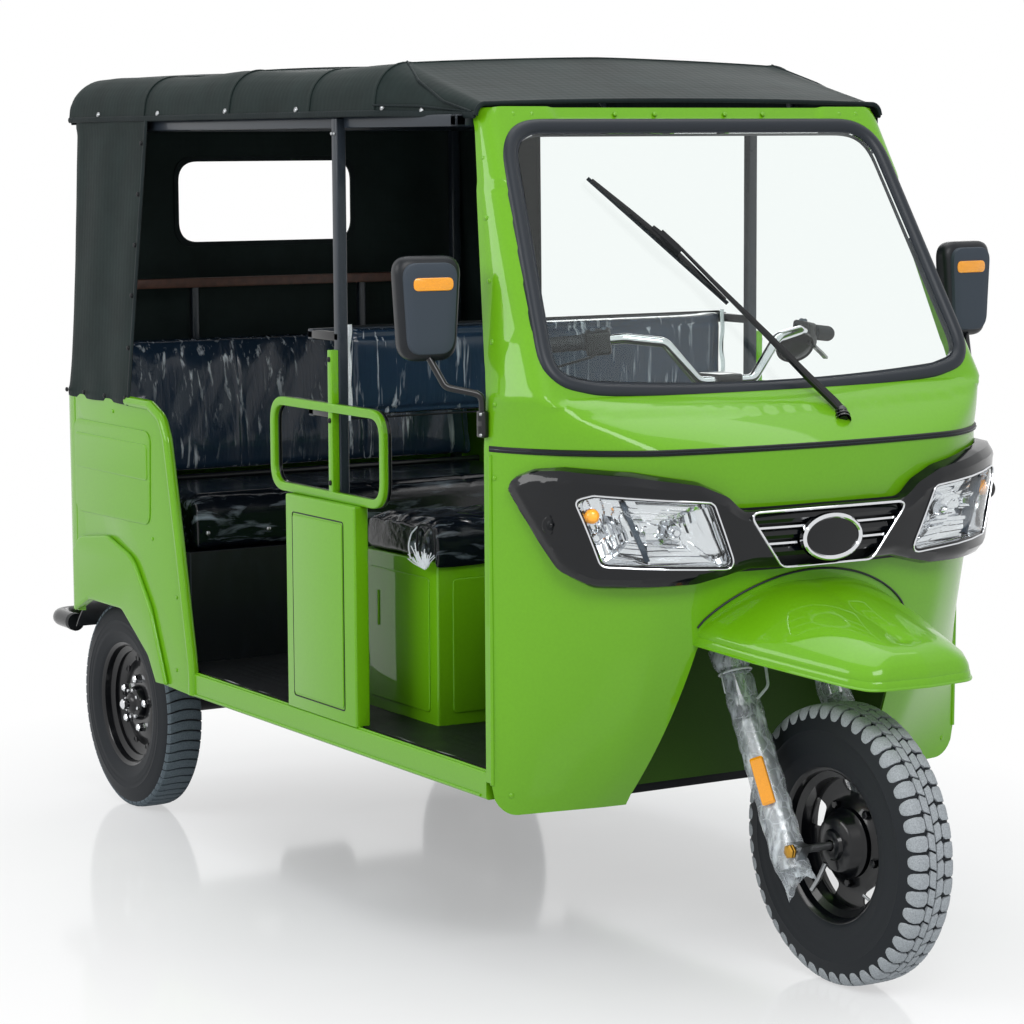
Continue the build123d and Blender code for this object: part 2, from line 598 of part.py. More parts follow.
BENCH_TOP = 701.0
DECK = (440.0, 444.0)
HOUSING_R = 300.0
HOUSING_INNER = REAR_TRACK_HALF - 73
ENGINE_X = 170.0
ENGINE_Y = (REAR_AXLE_Y - 343, REAR_AXLE_Y - 103)
ENGINE_Z = (250.0, 520.0)
with BuildPart() as rear_tub:
    with BuildSketch(Plane.YZ.offset(HOUSING_INNER - PLATE)):
        with Locations((REAR_AXLE_Y, REAR_TYRE_R)):
            Circle(HOUSING_R)
    extrude(amount=BODY_HALF - WALL - HOUSING_INNER + PLATE)
    with BuildSketch(Plane.YZ.offset(HOUSING_INNER)):
        with Locations((REAR_AXLE_Y, REAR_TYRE_R)):
            Circle(HOUSING_R - PLATE)
    extrude(amount=BODY_HALF - HOUSING_INNER, mode=Mode.SUBTRACT)
    span(0, BODY_HALF, REAR_AXLE_Y - 500, REAR_AXLE_Y + 500, -50, DECK[0], mode=Mode.SUBTRACT)
    mirror(about=Plane.YZ)
    inner_wall = HOUSING_INNER - PLATE
    span(-inner_wall, inner_wall, BENCH_FRONT, TAIL_Y - REAR_WALL, *DECK)
    span(WALL - BODY_HALF, BODY_HALF - WALL, BENCH_FRONT, BENCH_FRONT + PLATE, FLOOR_TOP, BENCH_TOP)
    span(WALL - BODY_HALF, BODY_HALF - WALL, BENCH_FRONT, REAR_AXLE_Y + 122, BENCH_TOP - PLATE, BENCH_TOP)
    hatch = (-ENGINE_X - 15, ENGINE_X + 15, ENGINE_Y[0] - 12, ENGINE_Y[1] + 15)
    span(*hatch, DECK[0] - 1, DECK[1] + 1, mode=Mode.SUBTRACT)
save(rear_tub, "rear_tub")

with BuildPart() as engine_block:
    span(-ENGINE_X, ENGINE_X, *ENGINE_Y, *ENGINE_Z)
    span(-RAIL_X + RAIL_HALF, RAIL_X - RAIL_HALF, ENGINE_Y[0] + 105, ENGINE_Y[0] + 135, 375, 395)
save(engine_block, "engine_block")

# ==== seats ================================================================================
SEAT_HALF = BODY_HALF - 153
SEAT_Y = (-352.0, -12.0)
SEAT_BOX_TOP = 789.0
with BuildPart() as driver_seat_box:
    span(-SEAT_HALF, SEAT_HALF, *SEAT_Y, FLOOR_TOP, SEAT_BOX_TOP)
    seat_core = (SHEET - SEAT_HALF, SEAT_HALF - SHEET, SEAT_Y[0] + SHEET, SEAT_Y[1] - SHEET)
    span(*seat_core, FLOOR_TOP, SEAT_BOX_TOP - SHEET, mode=Mode.SUBTRACT)
save(driver_seat_box, "driver_seat_box")

with BuildPart() as driver_cushion:
    span(-SEAT_HALF - 23, SEAT_HALF + 23, SEAT_Y[0] - 26, SEAT_Y[1] - 10, SEAT_BOX_TOP + SEAT_GAP, 872)
    fillet(driver_cushion.edges().filter_by(Axis.Z), 40)
    fillet(driver_cushion.faces().sort_by(Axis.Z)[-1].edges(), 28)
save(driver_cushion, "driver_cushion")

with BuildPart() as driver_backrest:
    pad_rear = BACKREST_BAR_Y[0] - SEAT_GAP
    span(-BODY_HALF + 78, BODY_HALF - 78, pad_rear - 58, pad_rear, 1074, 1300)
    fillet(driver_backrest.edges().filter_by(Axis.X), 14)
save(driver_backrest, "driver_backrest")

BENCH_HALF = BODY_HALF - 55
with BuildPart() as bench_cushion:
    span(-BENCH_HALF, BENCH_HALF, BENCH_FRONT - 6, BENCH_FRONT + 430, BENCH_TOP + SEAT_GAP, 832)
    fillet(bench_cushion.edges().filter_by(Axis.X).group_by(Axis.Z)[-1], 38)
save(bench_cushion, "bench_cushion")

with BuildPart() as bench_backrest:
    with BuildSketch(Plane.YZ.offset(5 - BENCH_HALF)):
        with BuildLine():
            pad_foot = ((BENCH_FRONT + 434, 835), (BENCH_FRONT + 507, 835))
            Polyline(*pad_foot, (REAR_POST_Y[0] - SEAT_GAP, 1212), (REAR_POST_Y[0] - 73, 1212), close=True)
        make_face()
    extrude(amount=2 * BENCH_HALF - 10)
save(bench_backrest, "bench_backrest")

# ==== running gear =========================================================================
with BuildPart() as rear_axle:
    with Locations((0, REAR_AXLE_Y, REAR_TYRE_R)):
        Cylinder(38, 860, rotation=(0, 90, 0))
        Cylinder(STUB_R, 1050, rotation=(0, 90, 0))
        Cylinder(92, 150, rotation=(0, 90, 0))
    for side in (-1, 1):
        with Locations((side * 433, REAR_AXLE_Y, REAR_TYRE_R)):
            Cylinder(105, 6, rotation=(0, 90, 0))
        span(side * RAIL_X - 30, side * RAIL_X + 30, REAR_AXLE_Y - 32, REAR_AXLE_Y + 32, REAR_TYRE_R, 309)
save(rear_axle, "rear_axle")

with BuildPart() as leaf_springs:
    for low, half in ((323, 320), (316, 230), (309, 150)):
        span(RAIL_X - 25, RAIL_X + 25, REAR_AXLE_Y - half, REAR_AXLE_Y + half - 65, low, low + 7)
    span(RAIL_X - 25, RAIL_X + 25, REAR_AXLE_Y - 318, REAR_AXLE_Y - 282, 330, 341)
    span(RAIL_X - 25, RAIL_X + 25, REAR_AXLE_Y + 218, REAR_AXLE_Y + 252, 330, 341)
    mirror(about=Plane.YZ)
save(leaf_springs, "leaf_springs")

BEAD_R = 153.0
FLANGE_T = 4.0


def rim_profile():
    """Half section of a pressed rim: distance along the axle and radius."""
    half = RIM_W / 2
    seat = [(-half, RIM_LIP_R), (-half + 9, RIM_LIP_R), (-half + 9, BEAD_R), (-14, BEAD_R - 24)]
    outer = seat + [(-x, r) for x, r in reversed(seat)]
    inner = [(half, BEAD_R - 6), (17, BEAD_R - 31), (-17, BEAD_R - 31), (-half, BEAD_R - 6)]
    return outer + inner


def rim(centre, bore_r, hub_half, disc_x, hole_r, hole_ring):
    """Rim, disc and hub turned about the axle through centre, in the active part."""
    with BuildSketch(Plane(origin=centre, x_dir=(1, 0, 0), z_dir=(0, -1, 0))) as section:
        with BuildLine():
            Polyline(*rim_profile(), close=True)
        make_face()
    with BuildSketch(Plane(origin=centre, x_dir=(1, 0, 0), z_dir=(0, -1, 0))) as core:
        with BuildLine():
            disc_r = BEAD_R - 28
            disc_in, disc_out = disc_x - 5, disc_x + 5
            Polyline((disc_in, bore_r), (disc_out, bore_r), (disc_out, disc_r), (disc_in, disc_r), close=True)
        make_face()
        with BuildLine():
            hub_r = bore_r + 22
            Polyline((-hub_half, bore_r), (hub_half, bore_r), (hub_half, hub_r), (-hub_half, hub_r), close=True)
        make_face()
    turn = Axis(centre, (1, 0, 0))
    revolve(section.sketch + core.sketch, axis=turn)
    with Locations(Location(centre, (0, 90, 0))):
        with PolarLocations(hole_ring, 5):
            Cylinder(hole_r, 400, mode=Mode.SUBTRACT)


def tyre(centre, radius):
    """Tyre ring with rounded shoulders, open to its rim, in the active part."""
    half = TYRE_W / 2
    with BuildSketch(Plane(origin=centre, x_dir=(1, 0, 0), z_dir=(0, -1, 0))) as section:
        with BuildLine():
            bead = RIM_W / 2 - 9 - 0.1
            low = BEAD_R + 0.1
            Polyline((bead, low), (bead, RIM_LIP_R + 1))
            ThreePointArc((bead, RIM_LIP_R + 1), (half, (RIM_LIP_R + radius) / 2), (half - 14, radius - 12))
            ThreePointArc((half - 14, radius - 12), (0, radius), (14 - half, radius - 12))
            ThreePointArc((14 - half, radius - 12), (-half, (RIM_LIP_R + radius) / 2), (-bead, RIM_LIP_R + 1))
            Polyline((-bead, RIM_LIP_R + 1), (-bead, low), (bead, low))
        make_face()
    revolve(section.sketch, axis=Axis(centre, (1, 0, 0)))


FRONT_HUB = (0, FRONT_AXLE_Y, FRONT_TYRE_R)
with BuildPart() as front_rim:
    rim(FRONT_HUB, AXLE_R + RUN_CLEAR, 44, 8, 26, 88)
save(front_rim, "front_rim")

with BuildPart() as front_tyre:
    tyre(FRONT_HUB, FRONT_TYRE_R)
save(front_tyre, "front_tyre")

for side, word in ((-1, "right"), (1, "left")):
    hub = (side * REAR_TRACK_HALF, REAR_AXLE_Y, REAR_TYRE_R)
    with BuildPart() as rear_rim:
        rim(hub, STUB_R + RUN_CLEAR, 14, side * 8, 20, 98)
    save(rear_rim, f"rear_rim_{word}")
    with BuildPart() as rear_tyre:
        tyre(hub, REAR_TYRE_R)
    save(rear_tyre, f"rear_tyre_{word}")

# ==== steering =============================================================================
with BuildPart(STEER) as fork:
    for side in (-1, 1):
        with Locations((side * FORK_HALF, 0, (YOKE_LOW - 30) / 2)):
            Cylinder(LEG_R, YOKE_LOW + 30)
        span(side * FORK_HALF - 12, side * FORK_HALF + 12, -AXLE_LEAD - 20, 0, -22, 22)
    span(-FORK_HALF - 34, FORK_HALF + 34, -34, 34, YOKE_LOW, YOKE_TOP)
    with Locations((0, 0, (YOKE_LOW + STEM_TOP) / 2)):
        Cylinder(STEM_R, STEM_TOP - YOKE_LOW)
    with Locations((0, 0, (YOKE_TOP + HEAD_LOW - 4) / 2)):
        Cylinder(STEM_R + 12, HEAD_LOW - 4 - YOKE_TOP)
    with Locations((0, -AXLE_LEAD, 0)):
        Cylinder(AXLE_R, 2 * FORK_HALF + 44, rotation=(0, 90, 0))
save(fork, "fork")

STEM_HEAD = STEER.from_local_coords(Vector(0, 0, STEM_TOP))
BAR_R = 11.0
BAR_Y = -800.0
BAR_Z = 1195.0
# right half of the bar from the middle out
BAR_HALF = [(70, BAR_Y, BAR_Z), (145, -785, 1280), (225, -755, 1290), (385, -640, 1272)]
with BuildPart() as handlebar:
    tube([(-x, y, z) for x, y, z in reversed(BAR_HALF)] + BAR_HALF, 28, BAR_R)
    span(-32, 32, BAR_Y - 20, STEM_HEAD.Y + 22, BAR_Z - 20, BAR_Z + 16)
    span(-22, 22, STEM_HEAD.Y - 22, STEM_HEAD.Y + 22, STEM_HEAD.Z - 12, BAR_Z - 20)
    with Locations(STEER.location):
        with Locations((0, 0, STEM_TOP - 100)):
            Cylinder(STEM_R, 200, mode=Mode.SUBTRACT)
save(handlebar, "handlebar")

GRIP_R = 17.0
GRIP_LENGTH = 128.0
bend, tip = Vector(*BAR_HALF[-2]), Vector(*BAR_HALF[-1])
GRIP_START = tuple(tip + (bend - tip).normalized() * (GRIP_LENGTH - 12))
with BuildPart() as handlebar_controls:
    for side in (-1, 1):
        start = Vector(side * GRIP_START[0], *GRIP_START[1:])
        bar_end = Vector(side * BAR_HALF[-1][0], *BAR_HALF[-1][1:])
        axis = (bar_end - start).normalized()
        grip_plane = Plane(origin=start, z_dir=axis)
        with BuildSketch(grip_plane) as grip_section:
            Circle(GRIP_R)
        extrude(grip_section.sketch, amount=GRIP_LENGTH)
        with BuildSketch(grip_plane) as bar_section:
            Circle(BAR_R + 0.02)
        extrude(bar_section.sketch, amount=GRIP_LENGTH - 8, mode=Mode.SUBTRACT)
save(handlebar_controls, "handlebar_controls")

# ==== outside and cab fittings =============================================================
with BuildPart() as dash_panel:
    add(LOWER_CORE)
    span(-BODY_HALF, BODY_HALF, -1300, -870, BELT_Z - 25, BELT_Z - 25 + SHEET, mode=Mode.INTERSECT)
save(dash_panel, "dash_panel")

with BuildPart() as brake_pedal:
    span(110, 190, -770, -762, 500, 560)
    span(143, 157, -762, -700, 500, 512)
    span(143, 157, -712, -700, FLOOR_TOP, 512)
    span(125, 175, -730, -680, FLOOR_TOP, FLOOR_TOP + 6)
save(brake_pedal, "brake_pedal")

MIRROR_CENTRE = (BODY_HALF + 90, -745.0, 1367.0)
MIRROR_FOOT_X = BODY_HALF + 9
with BuildPart() as mirrors:
    with Locations(Location(MIRROR_CENTRE, (0, 0, 6.5))):
        Box(150, 46, 215)
    fillet(mirrors.edges().filter_by(Axis.Z), 16)
    span(BODY_HALF, BODY_HALF + 18, -832, -812, 1112, 1162)
    arm_top = [(MIRROR_CENTRE[0] - 18, -785, 1212), (MIRROR_CENTRE[0], -752, 1262)]
    tube([(MIRROR_FOOT_X, -822, 1160), (MIRROR_FOOT_X, -822, 1196)] + arm_top, 18, 7)
    mirror(about=Plane.YZ)
save(mirrors, "mirrors")

WIPER_PIVOT = (124.0, -1045.0, 1149.0)
with BuildPart() as wiper:
    with Locations(Location(WIPER_PIVOT, (60, 0, 0))):
        Cylinder(11, 50)
    with BuildSketch(SCREEN.offset(30)) as arm:
        with BuildLine():
            Polyline((118, -58), (130, -46), (-168, 368), (-180, 358), close=True)
        make_face()
    extrude(arm.sketch, amount=6)
    with BuildSketch(SCREEN.offset(18)) as blade:
        with BuildLine():
            Polyline((-60, 208), (-68, 202), (-310, 490), (-302, 496), close=True)
        make_face()
    extrude(blade.sketch, amount=13)
    add(UPPER_BLOCK, mode=Mode.SUBTRACT)
save(wiper, "wiper")
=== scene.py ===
# %% [markdown]
# # A three-wheeled auto rickshaw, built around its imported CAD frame
# The CAD model is the skeleton: it fixes every size and every joint. This lesson dresses it,
# one piece or finish to a cell, with the vehicle facing -Y and +Z up.
# Load the frame first, because every piece below takes its place from it.

# %% Load the frame
import random
from math import acos, atan, atan2, copysign, cos, exp, hypot, pi, prod, radians, sin, sqrt, tan

import bmesh
import bpy
import numpy as np
from mathutils import Matrix, Vector


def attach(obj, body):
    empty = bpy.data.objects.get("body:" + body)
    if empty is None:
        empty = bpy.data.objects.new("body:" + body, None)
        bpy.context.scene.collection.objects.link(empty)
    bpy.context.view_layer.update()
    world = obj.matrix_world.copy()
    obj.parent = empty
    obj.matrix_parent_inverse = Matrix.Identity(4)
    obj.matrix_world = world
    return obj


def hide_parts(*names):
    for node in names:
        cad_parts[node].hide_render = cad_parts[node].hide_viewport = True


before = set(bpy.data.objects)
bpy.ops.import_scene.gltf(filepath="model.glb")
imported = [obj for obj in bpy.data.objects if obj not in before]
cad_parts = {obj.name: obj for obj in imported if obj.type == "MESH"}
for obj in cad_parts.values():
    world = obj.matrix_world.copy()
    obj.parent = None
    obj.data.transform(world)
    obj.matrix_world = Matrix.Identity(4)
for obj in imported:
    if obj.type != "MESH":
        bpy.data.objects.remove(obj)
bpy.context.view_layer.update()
MM = 0.001
random.seed(11)
scene = bpy.context.scene

# %% [markdown]
# ## Helpers for materials
# Colours are written as a paint chart's hex values. Blender mixes light in linear numbers, so one
# function turns them. One more adds a shader node, sets it and wires it.

# %% Colour and node helpers
def tint(code, much=1.0):
    """Linear RGBA of an sRGB hex colour, darker or paler by a factor."""
    values = [int(code[i:i + 2], 16) / 255 for i in (1, 3, 5)]
    values = [v / 12.92 if v <= 0.04045 else ((v + 0.055) / 1.055) ** 2.4 for v in values]
    return tuple(min(1.0, v * much) for v in values) + (1.0,)


def add(tree, kind, settings=None, stops=(), **inputs):
    """Adds one node. settings are its own options, stops are a colour ramp's two (place, colour
    or grey) pairs, and inputs are its sockets, given a value, or the node or socket that feeds them."""
    made = tree.nodes.new("ShaderNode" + kind)
    for key, value in (settings or {}).items():
        setattr(made, key, value)
    for number, (spot, colour) in enumerate(stops):
        element = made.color_ramp.elements[number]
        element.position = spot
        element.color = colour if isinstance(colour, tuple) else (colour, colour, colour, 1)
    for key, value in inputs.items():
        name = key.replace("_", " ")
        socket = made.inputs[int(name[1:])] if name[1:].isdigit() and name[0] == "i" else made.inputs[name]
        if isinstance(value, bpy.types.Node):
            value = value.outputs[0]
        if isinstance(value, bpy.types.NodeSocket):
            tree.links.new(value, socket)
        else:
            socket.default_value = value
    return made


def finish_named(name):
    """An empty material, its tree and the place that its patterns follow."""
    material = bpy.data.materials.new(name)
    material.use_nodes = True
    tree = material.node_tree
    tree.nodes.clear()
    return material, tree, add(tree, "TexCoord").outputs["Object"]


def scale_of(size_mm):
    """Texture scale that gives one cell of this size."""
    return 1.0 / (size_mm * MM)


def skin(name, base, grain_mm, bump_mm, shift=0.08, metal=0.0, rough=0.5, gloss=0.5, coat=0.0, coat_rough=0.03):
    """A grain that shifts the colour a little and raises the surface."""
    material, tree, place = finish_named(name)
    grain = add(tree, "TexNoise", Vector=place, Scale=scale_of(grain_mm), Detail=4.0)
    stops = [(0.3, tint(base, 1 - shift)), (0.7, tint(base, 1 + shift))]
    colour = add(tree, "ValToRGB", stops=stops, Fac=grain)
    bump = add(tree, "Bump", Height=grain, Distance=bump_mm * MM, Strength=1.0)
    shader = add(tree, "BsdfPrincipled", Base_Color=colour, Metallic=metal, Roughness=rough, Normal=bump,
                 Specular_IOR_Level=gloss, Coat_Weight=coat, Coat_Roughness=coat_rough)
    add(tree, "OutputMaterial", Surface=shader)
    return material

# %% [markdown]
# ## Painted steel
# The cab is pressed steel, sprayed with gloss enamel and baked. The eye sees a clean colour under
# a hard clear surface, with the faint ripple called orange peel, some 5 mm across.

# %% Enamels
green_enamel = skin("green_enamel", "#68A80E", 6.0, 0.012, shift=0.03, rough=0.4,
                    coat=0.6, coat_rough=0.04, gloss=0.12)
black_enamel = skin("black_enamel", "#07090D", 5.0, 0.02, shift=0.1, rough=0.3,
                    coat=0.45, coat_rough=0.06, gloss=0.2)
# The wheel recess's green is painted darker than the body's, as the shade inside it.
recess_shade_green = skin("recess_shade_green", "#2E4D10", 3.0, 0.1, shift=0.15, rough=0.6, gloss=0.2)
chassis_paint = skin("chassis_paint", "#0C0E12", 3.0, 0.08, shift=0.2, rough=0.6, gloss=0.2)
tube_enamel = skin("tube_enamel", "#262D35", 4.0, 0.02, shift=0.08, rough=0.35, coat=0.25, gloss=0.25)

# %% [markdown]
# ## Plastics and rubber
# The lamp mask and mirror shells are injection-moulded ABS: the mask polished, the shells
# with a fine spark-eroded texture. The windscreen sits in an EPDM rubber profile.

# %% Moulded finishes
gloss_abs = skin("gloss_abs", "#05080D", 30.0, 0.01, rough=0.2, coat=0.55, coat_rough=0.02, gloss=0.1)
grained_abs = skin("grained_abs", "#39414A", 0.8, 0.03, rough=0.55, gloss=0.2)
mirror_rim = skin("mirror_rim", "#12161B", 0.8, 0.03, rough=0.4, gloss=0.3)
dark_abs = skin("dark_abs", "#0D1013", 0.9, 0.04, rough=0.5, gloss=0.25)
epdm = skin("epdm", "#171E26", 1.2, 0.03, rough=0.42, gloss=0.35)
tyre_rubber = skin("tyre_rubber", "#0C1218", 1.5, 0.1, shift=0.3, rough=0.62, gloss=0.3)
# Tread colours are pale grey, partly dust and partly painted sheen; the front tread, standing in the light, is painted
# paler than the rear.
rib_dust_and_sheen = skin("rib_dust_and_sheen", "#59646B", 2.5, 0.12, shift=0.3, rough=0.75, gloss=0.25)
tread_dust_and_sheen = skin("tread_dust_and_sheen", "#9EA3A7", 2.5, 0.12, shift=0.25, rough=0.7, gloss=0.3)
chrome_plate = skin("chrome_plate", "#D9DBDE", 40.0, 0.004, shift=0.02, metal=1.0, rough=0.09)
zinc_steel = skin("zinc_steel", "#9EA1A3", 2.0, 0.02, shift=0.1, metal=1.0, rough=0.35)
brass_plate = skin("brass_plate", "#B98C3A", 2.0, 0.01, shift=0.05, metal=1.0, rough=0.3)
amber_acrylic = skin("amber_acrylic", "#FBA012", 2.0, 0.05, shift=0.12, rough=0.25, coat=0.6)
red_acrylic = skin("red_acrylic", "#B3121A", 3.0, 0.1, shift=0.15, rough=0.2, coat=0.8)
cast_alloy = skin("cast_alloy", "#7C7F82", 2.5, 0.2, shift=0.15, metal=0.8, rough=0.55)
print("finishes", len(bpy.data.materials))

# %% [markdown]
# ## Glass
# Windscreen glass and polycarbonate lenses let light straight through. A shader that bends
# light would throw the cab into shadow, so shadow rays pass it as if it were not there.

# %% Clear finishes
def clear(name, colour, ior):
    """Glass that lets shadow rays through."""
    material, tree, _ = finish_named(name)
    glass = add(tree, "BsdfPrincipled", Base_Color=tint(colour), Roughness=0.0, IOR=ior, Transmission_Weight=1.0)
    window = add(tree, "BsdfTransparent", Color=tint(colour))
    shadow = add(tree, "LightPath").outputs["Is Shadow Ray"]
    mixed = add(tree, "MixShader", i0=shadow, i1=glass, i2=window)
    add(tree, "OutputMaterial", Surface=mixed)
    return material


screen_glass = clear("screen_glass", "#F4FAF8", 1.35)
lens_plastic = clear("lens_plastic", "#FBFDFD", 1.25)

# %% [markdown]
# ## Soft finishes
# The hood is PVC-coated canvas. Its threads, 1 mm apart, only just show through the coating, so
# they are drawn 3 mm apart, or they would vanish. The seats are black vinyl still in packing film,
# which is too thin to model, so its creases are drawn in the finish as pale streaks of painted highlight.

# %% Canvas
def canvas_finish(name, base, thread_mm=3.0):
    """Coated canvas: crossed waves for the threads, a slow noise for handling marks."""
    material, tree, place = finish_named(name)
    weave = 0.0
    for direction in "XYZ":
        wave = add(tree, "TexWave", {"bands_direction": direction}, Vector=place, Scale=scale_of(thread_mm) / 20,
                   Distortion=0.6, Detail=1.0).outputs["Fac"]
        weave = add(tree, "Math", {"operation": "ADD"}, i0=weave, i1=wave)
    marks = add(tree, "TexNoise", Vector=place, Scale=scale_of(140), Detail=6.0, Roughness=0.6)
    stops = [(0.32, tint(base, 0.78)), (0.68, tint(base, 1.25))]
    colour = add(tree, "ValToRGB", stops=stops, Fac=marks)
    folds = add(tree, "Bump", Height=marks, Distance=6 * MM, Strength=0.35)
    bump = add(tree, "Bump", Height=weave, Distance=0.12 * MM, Normal=folds)
    shader = add(tree, "BsdfPrincipled", Base_Color=colour, Roughness=0.58, Normal=bump,
                 Sheen_Weight=0.01, Sheen_Roughness=0.4, Specular_IOR_Level=0.09)
    add(tree, "OutputMaterial", Surface=shader)
    return material


hood_canvas = canvas_finish("hood_canvas", "#1B2524")
hood_binding = canvas_finish("hood_binding", "#1A2223", 2.0)

# %% Vinyl under packing film
def film_finish(name, base, film, stretch, size_mm, low, high, rough=0.2):
    """Vinyl under tight film: pale streaks of painted highlight where a drawn-out noise peaks."""
    material, tree, place = finish_named(name)
    run = add(tree, "Mapping", Vector=place, Scale=stretch)
    crease = add(tree, "TexNoise", Vector=run, Scale=scale_of(size_mm), Detail=5.0, Roughness=0.55, Distortion=0.5)
    sheen_patches = add(tree, "TexNoise", Vector=place, Scale=scale_of(150), Detail=2.0)
    line = add(tree, "ValToRGB", stops=[(low, 0), (high, 1)], Fac=crease)
    where = add(tree, "ValToRGB", stops=[(0.35, 0.15), (0.65, 1)], Fac=sheen_patches)
    amount = add(tree, "Math", {"operation": "MULTIPLY"}, i0=line, i1=where)
    # film is the streaks' colour: painted highlight on the creased film.
    colour = add(tree, "MixRGB", Fac=amount, Color1=tint(base), Color2=tint(film))
    leather = add(tree, "TexVoronoi", Vector=place, Scale=scale_of(3.0))
    grain = add(tree, "Bump", Height=leather, Distance=0.15 * MM, Strength=0.4)
    bump = add(tree, "Bump", Height=crease, Distance=5 * MM, Strength=0.5, Normal=grain)
    shader = add(tree, "BsdfPrincipled", Base_Color=colour, Roughness=rough, Normal=bump,
                 Coat_Weight=0.3, Coat_Roughness=0.1, Specular_IOR_Level=0.25)
    add(tree, "OutputMaterial", Surface=shader)
    return material


def wrap_finish(name):
    """Loose clear film: see-through between creases, milky along them, with upright pale streaks of painted highlight.
    """
    material, tree, place = finish_named(name)
    warp = add(tree, "TexNoise", Vector=place, Scale=scale_of(35), Detail=2.0).outputs["Color"]
    bent = add(tree, "MixRGB", {"blend_type": "ADD"}, Fac=0.012, Color1=place, Color2=warp)
    fold = add(tree, "TexVoronoi", {"feature": "DISTANCE_TO_EDGE"}, Vector=bent, Scale=scale_of(34))
    edge = add(tree, "ValToRGB", stops=[(0.0, 0.6), (0.035, 0.3)], Fac=fold)
    # The upright streaks below are painted highlight on the film.
    drawn = add(tree, "Mapping", Vector=bent, Scale=(1.0, 0.6, 0.25))
    streak = add(tree, "TexNoise", Vector=drawn, Scale=scale_of(13), Detail=4.0)
    milky_highlight = add(tree, "ValToRGB", stops=[(0.48, 0.22), (0.68, 0.85)], Fac=streak)
    cover = add(tree, "Math", {"operation": "MAXIMUM"}, i0=edge, i1=milky_highlight)
    bump = add(tree, "Bump", Height=fold, Distance=9 * MM, Strength=0.9)
    shader = add(tree, "BsdfPrincipled", Base_Color=tint("#DDE4EA"), Roughness=0.12, Normal=bump, Alpha=cover,
            Coat_Weight=0.6)
    add(tree, "OutputMaterial", Surface=shader)
    return material


seat_film = film_finish("seat_film", "#0C1118", "#9AA7B2", (0.22, 1.0, 1.0), 26.0, 0.54, 0.78)
# The backrests' vinyl is painted paler and bluer than the cushions', as the reflection on their film; its streaks are
# brighter too.
back_film_painted_sheen = film_finish("back_film_painted_sheen", "#1D2D3F", "#DCE4EC", (1.0, 1.0, 0.1), 17.0, 0.58, 0.71)
vinyl = film_finish("vinyl", "#0B0E12", "#1A2027", (1.0, 1.0, 0.4), 40.0, 0.5, 0.9, rough=0.4)
fork_film = wrap_finish("fork_film")
floor_mat = skin("floor_mat", "#0D0F12", 9.0, 0.6, shift=0.3, rough=0.45, gloss=0.3)

# %% [markdown]
# ## Helpers for shapes
# Shapes are given in millimetres, as on a drawing, and turned to metres once. Most pieces are a
# skin through rows of points, a turned part, a plate or a bent bar, with one function each.
# `mount` says what a piece rides on and stands for.

# %% Mounting a piece
def mount(made, replaced=(), body="body", crease=38):
    """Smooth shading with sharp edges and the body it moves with."""
    if made.type == "MESH":
        made.data.polygons.foreach_set("use_smooth", [True] * len(made.data.polygons))
        made.data.set_sharp_from_angle(angle=radians(crease))
    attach(made, body)
    if replaced:
        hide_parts(*([replaced] if isinstance(replaced, str) else replaced))
    return made


def dress(node, finish):
    """Gives a CAD node that keeps its shape a better finish."""
    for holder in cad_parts[node].material_slots:
        holder.material = finish


def shape(name, points, faces, finish=green_enamel):
    """A mesh object from points in millimetres, its faces turned outward."""
    mesh = bpy.data.meshes.new(name)
    mesh.from_pydata([(p[0] * MM, p[1] * MM, p[2] * MM) for p in points], [], faces)
    made = bpy.data.objects.new(name, mesh)
    scene.collection.objects.link(made)
    mesh.materials.append(finish)
    turn = bmesh.new()
    turn.from_mesh(mesh)
    bmesh.ops.remove_doubles(turn, verts=turn.verts, dist=1e-6)
    bmesh.ops.recalc_face_normals(turn, faces=turn.faces)
    turn.to_mesh(mesh)
    turn.free()
    return made


def rows_skin(rows, ring=False, loop=False, caps=False):
    """A skin through rows of points. loop closes each row, ring joins last row to first."""
    count = len(rows[0])
    points = [p for row in rows for p in row]
    faces = []
    for i in range(len(rows) if ring else len(rows) - 1):
        a, b = i * count, ((i + 1) % len(rows)) * count
        for j in range(count if loop else count - 1):
            k = (j + 1) % count
            faces.append((a + j, a + k, b + k, b + j))
    if caps:
        faces += [tuple(range(count)), tuple(range(len(points) - count, len(points)))]
    return points, faces


def solid(name, rows, finish=green_enamel, ring=False, caps=True):
    """A skin through closed rows, with a face at each end or its ends joined in a ring."""
    return shape(name, *rows_skin(rows, ring=ring, loop=True, caps=caps and not ring), finish)


def bake(made):
    """Makes an object's modifiers permanent."""
    bpy.context.view_layer.update()
    result = bpy.data.meshes.new_from_object(made.evaluated_get(bpy.context.evaluated_depsgraph_get()))
    made.modifiers.clear()
    made.data = result
    return made


def change(made, kind, **settings):
    """Adds one modifier and makes it permanent."""
    step = made.modifiers.new(kind, kind)
    for key, value in settings.items():
        setattr(step, key, value)
    return bake(made)


# %% Turned parts, plates and bars
def turned(name, profile, centre, finish, steps):
    """Turns (distance along the axle, radius) points about an axle along X."""
    rows = []
    for i in range(steps):
        a = 2 * pi * i / steps
        rows.append([(centre[0] + x, centre[1] + r * cos(a), centre[2] + r * sin(a)) for x, r in profile])
    return solid(name, rows, finish, ring=True)


def bend_points(start, corner, end, shares):
    """Points of a smooth bend from start to end that leans to the corner."""
    return [(1 - t) ** 2 * start + 2 * t * (1 - t) * corner + t * t * end for t in shares]


def oblong(a, low, b, high):
    """Corners of a rectangle."""
    return [(a, low), (b, low), (b, high), (a, high)]


def pair(side, near, far):
    """A span between two distances from the middle, on one side."""
    return sorted((side * near, side * far))


def around(count):
    """Angles evenly round a circle."""
    return np.linspace(0, 2 * pi, count, endpoint=False)


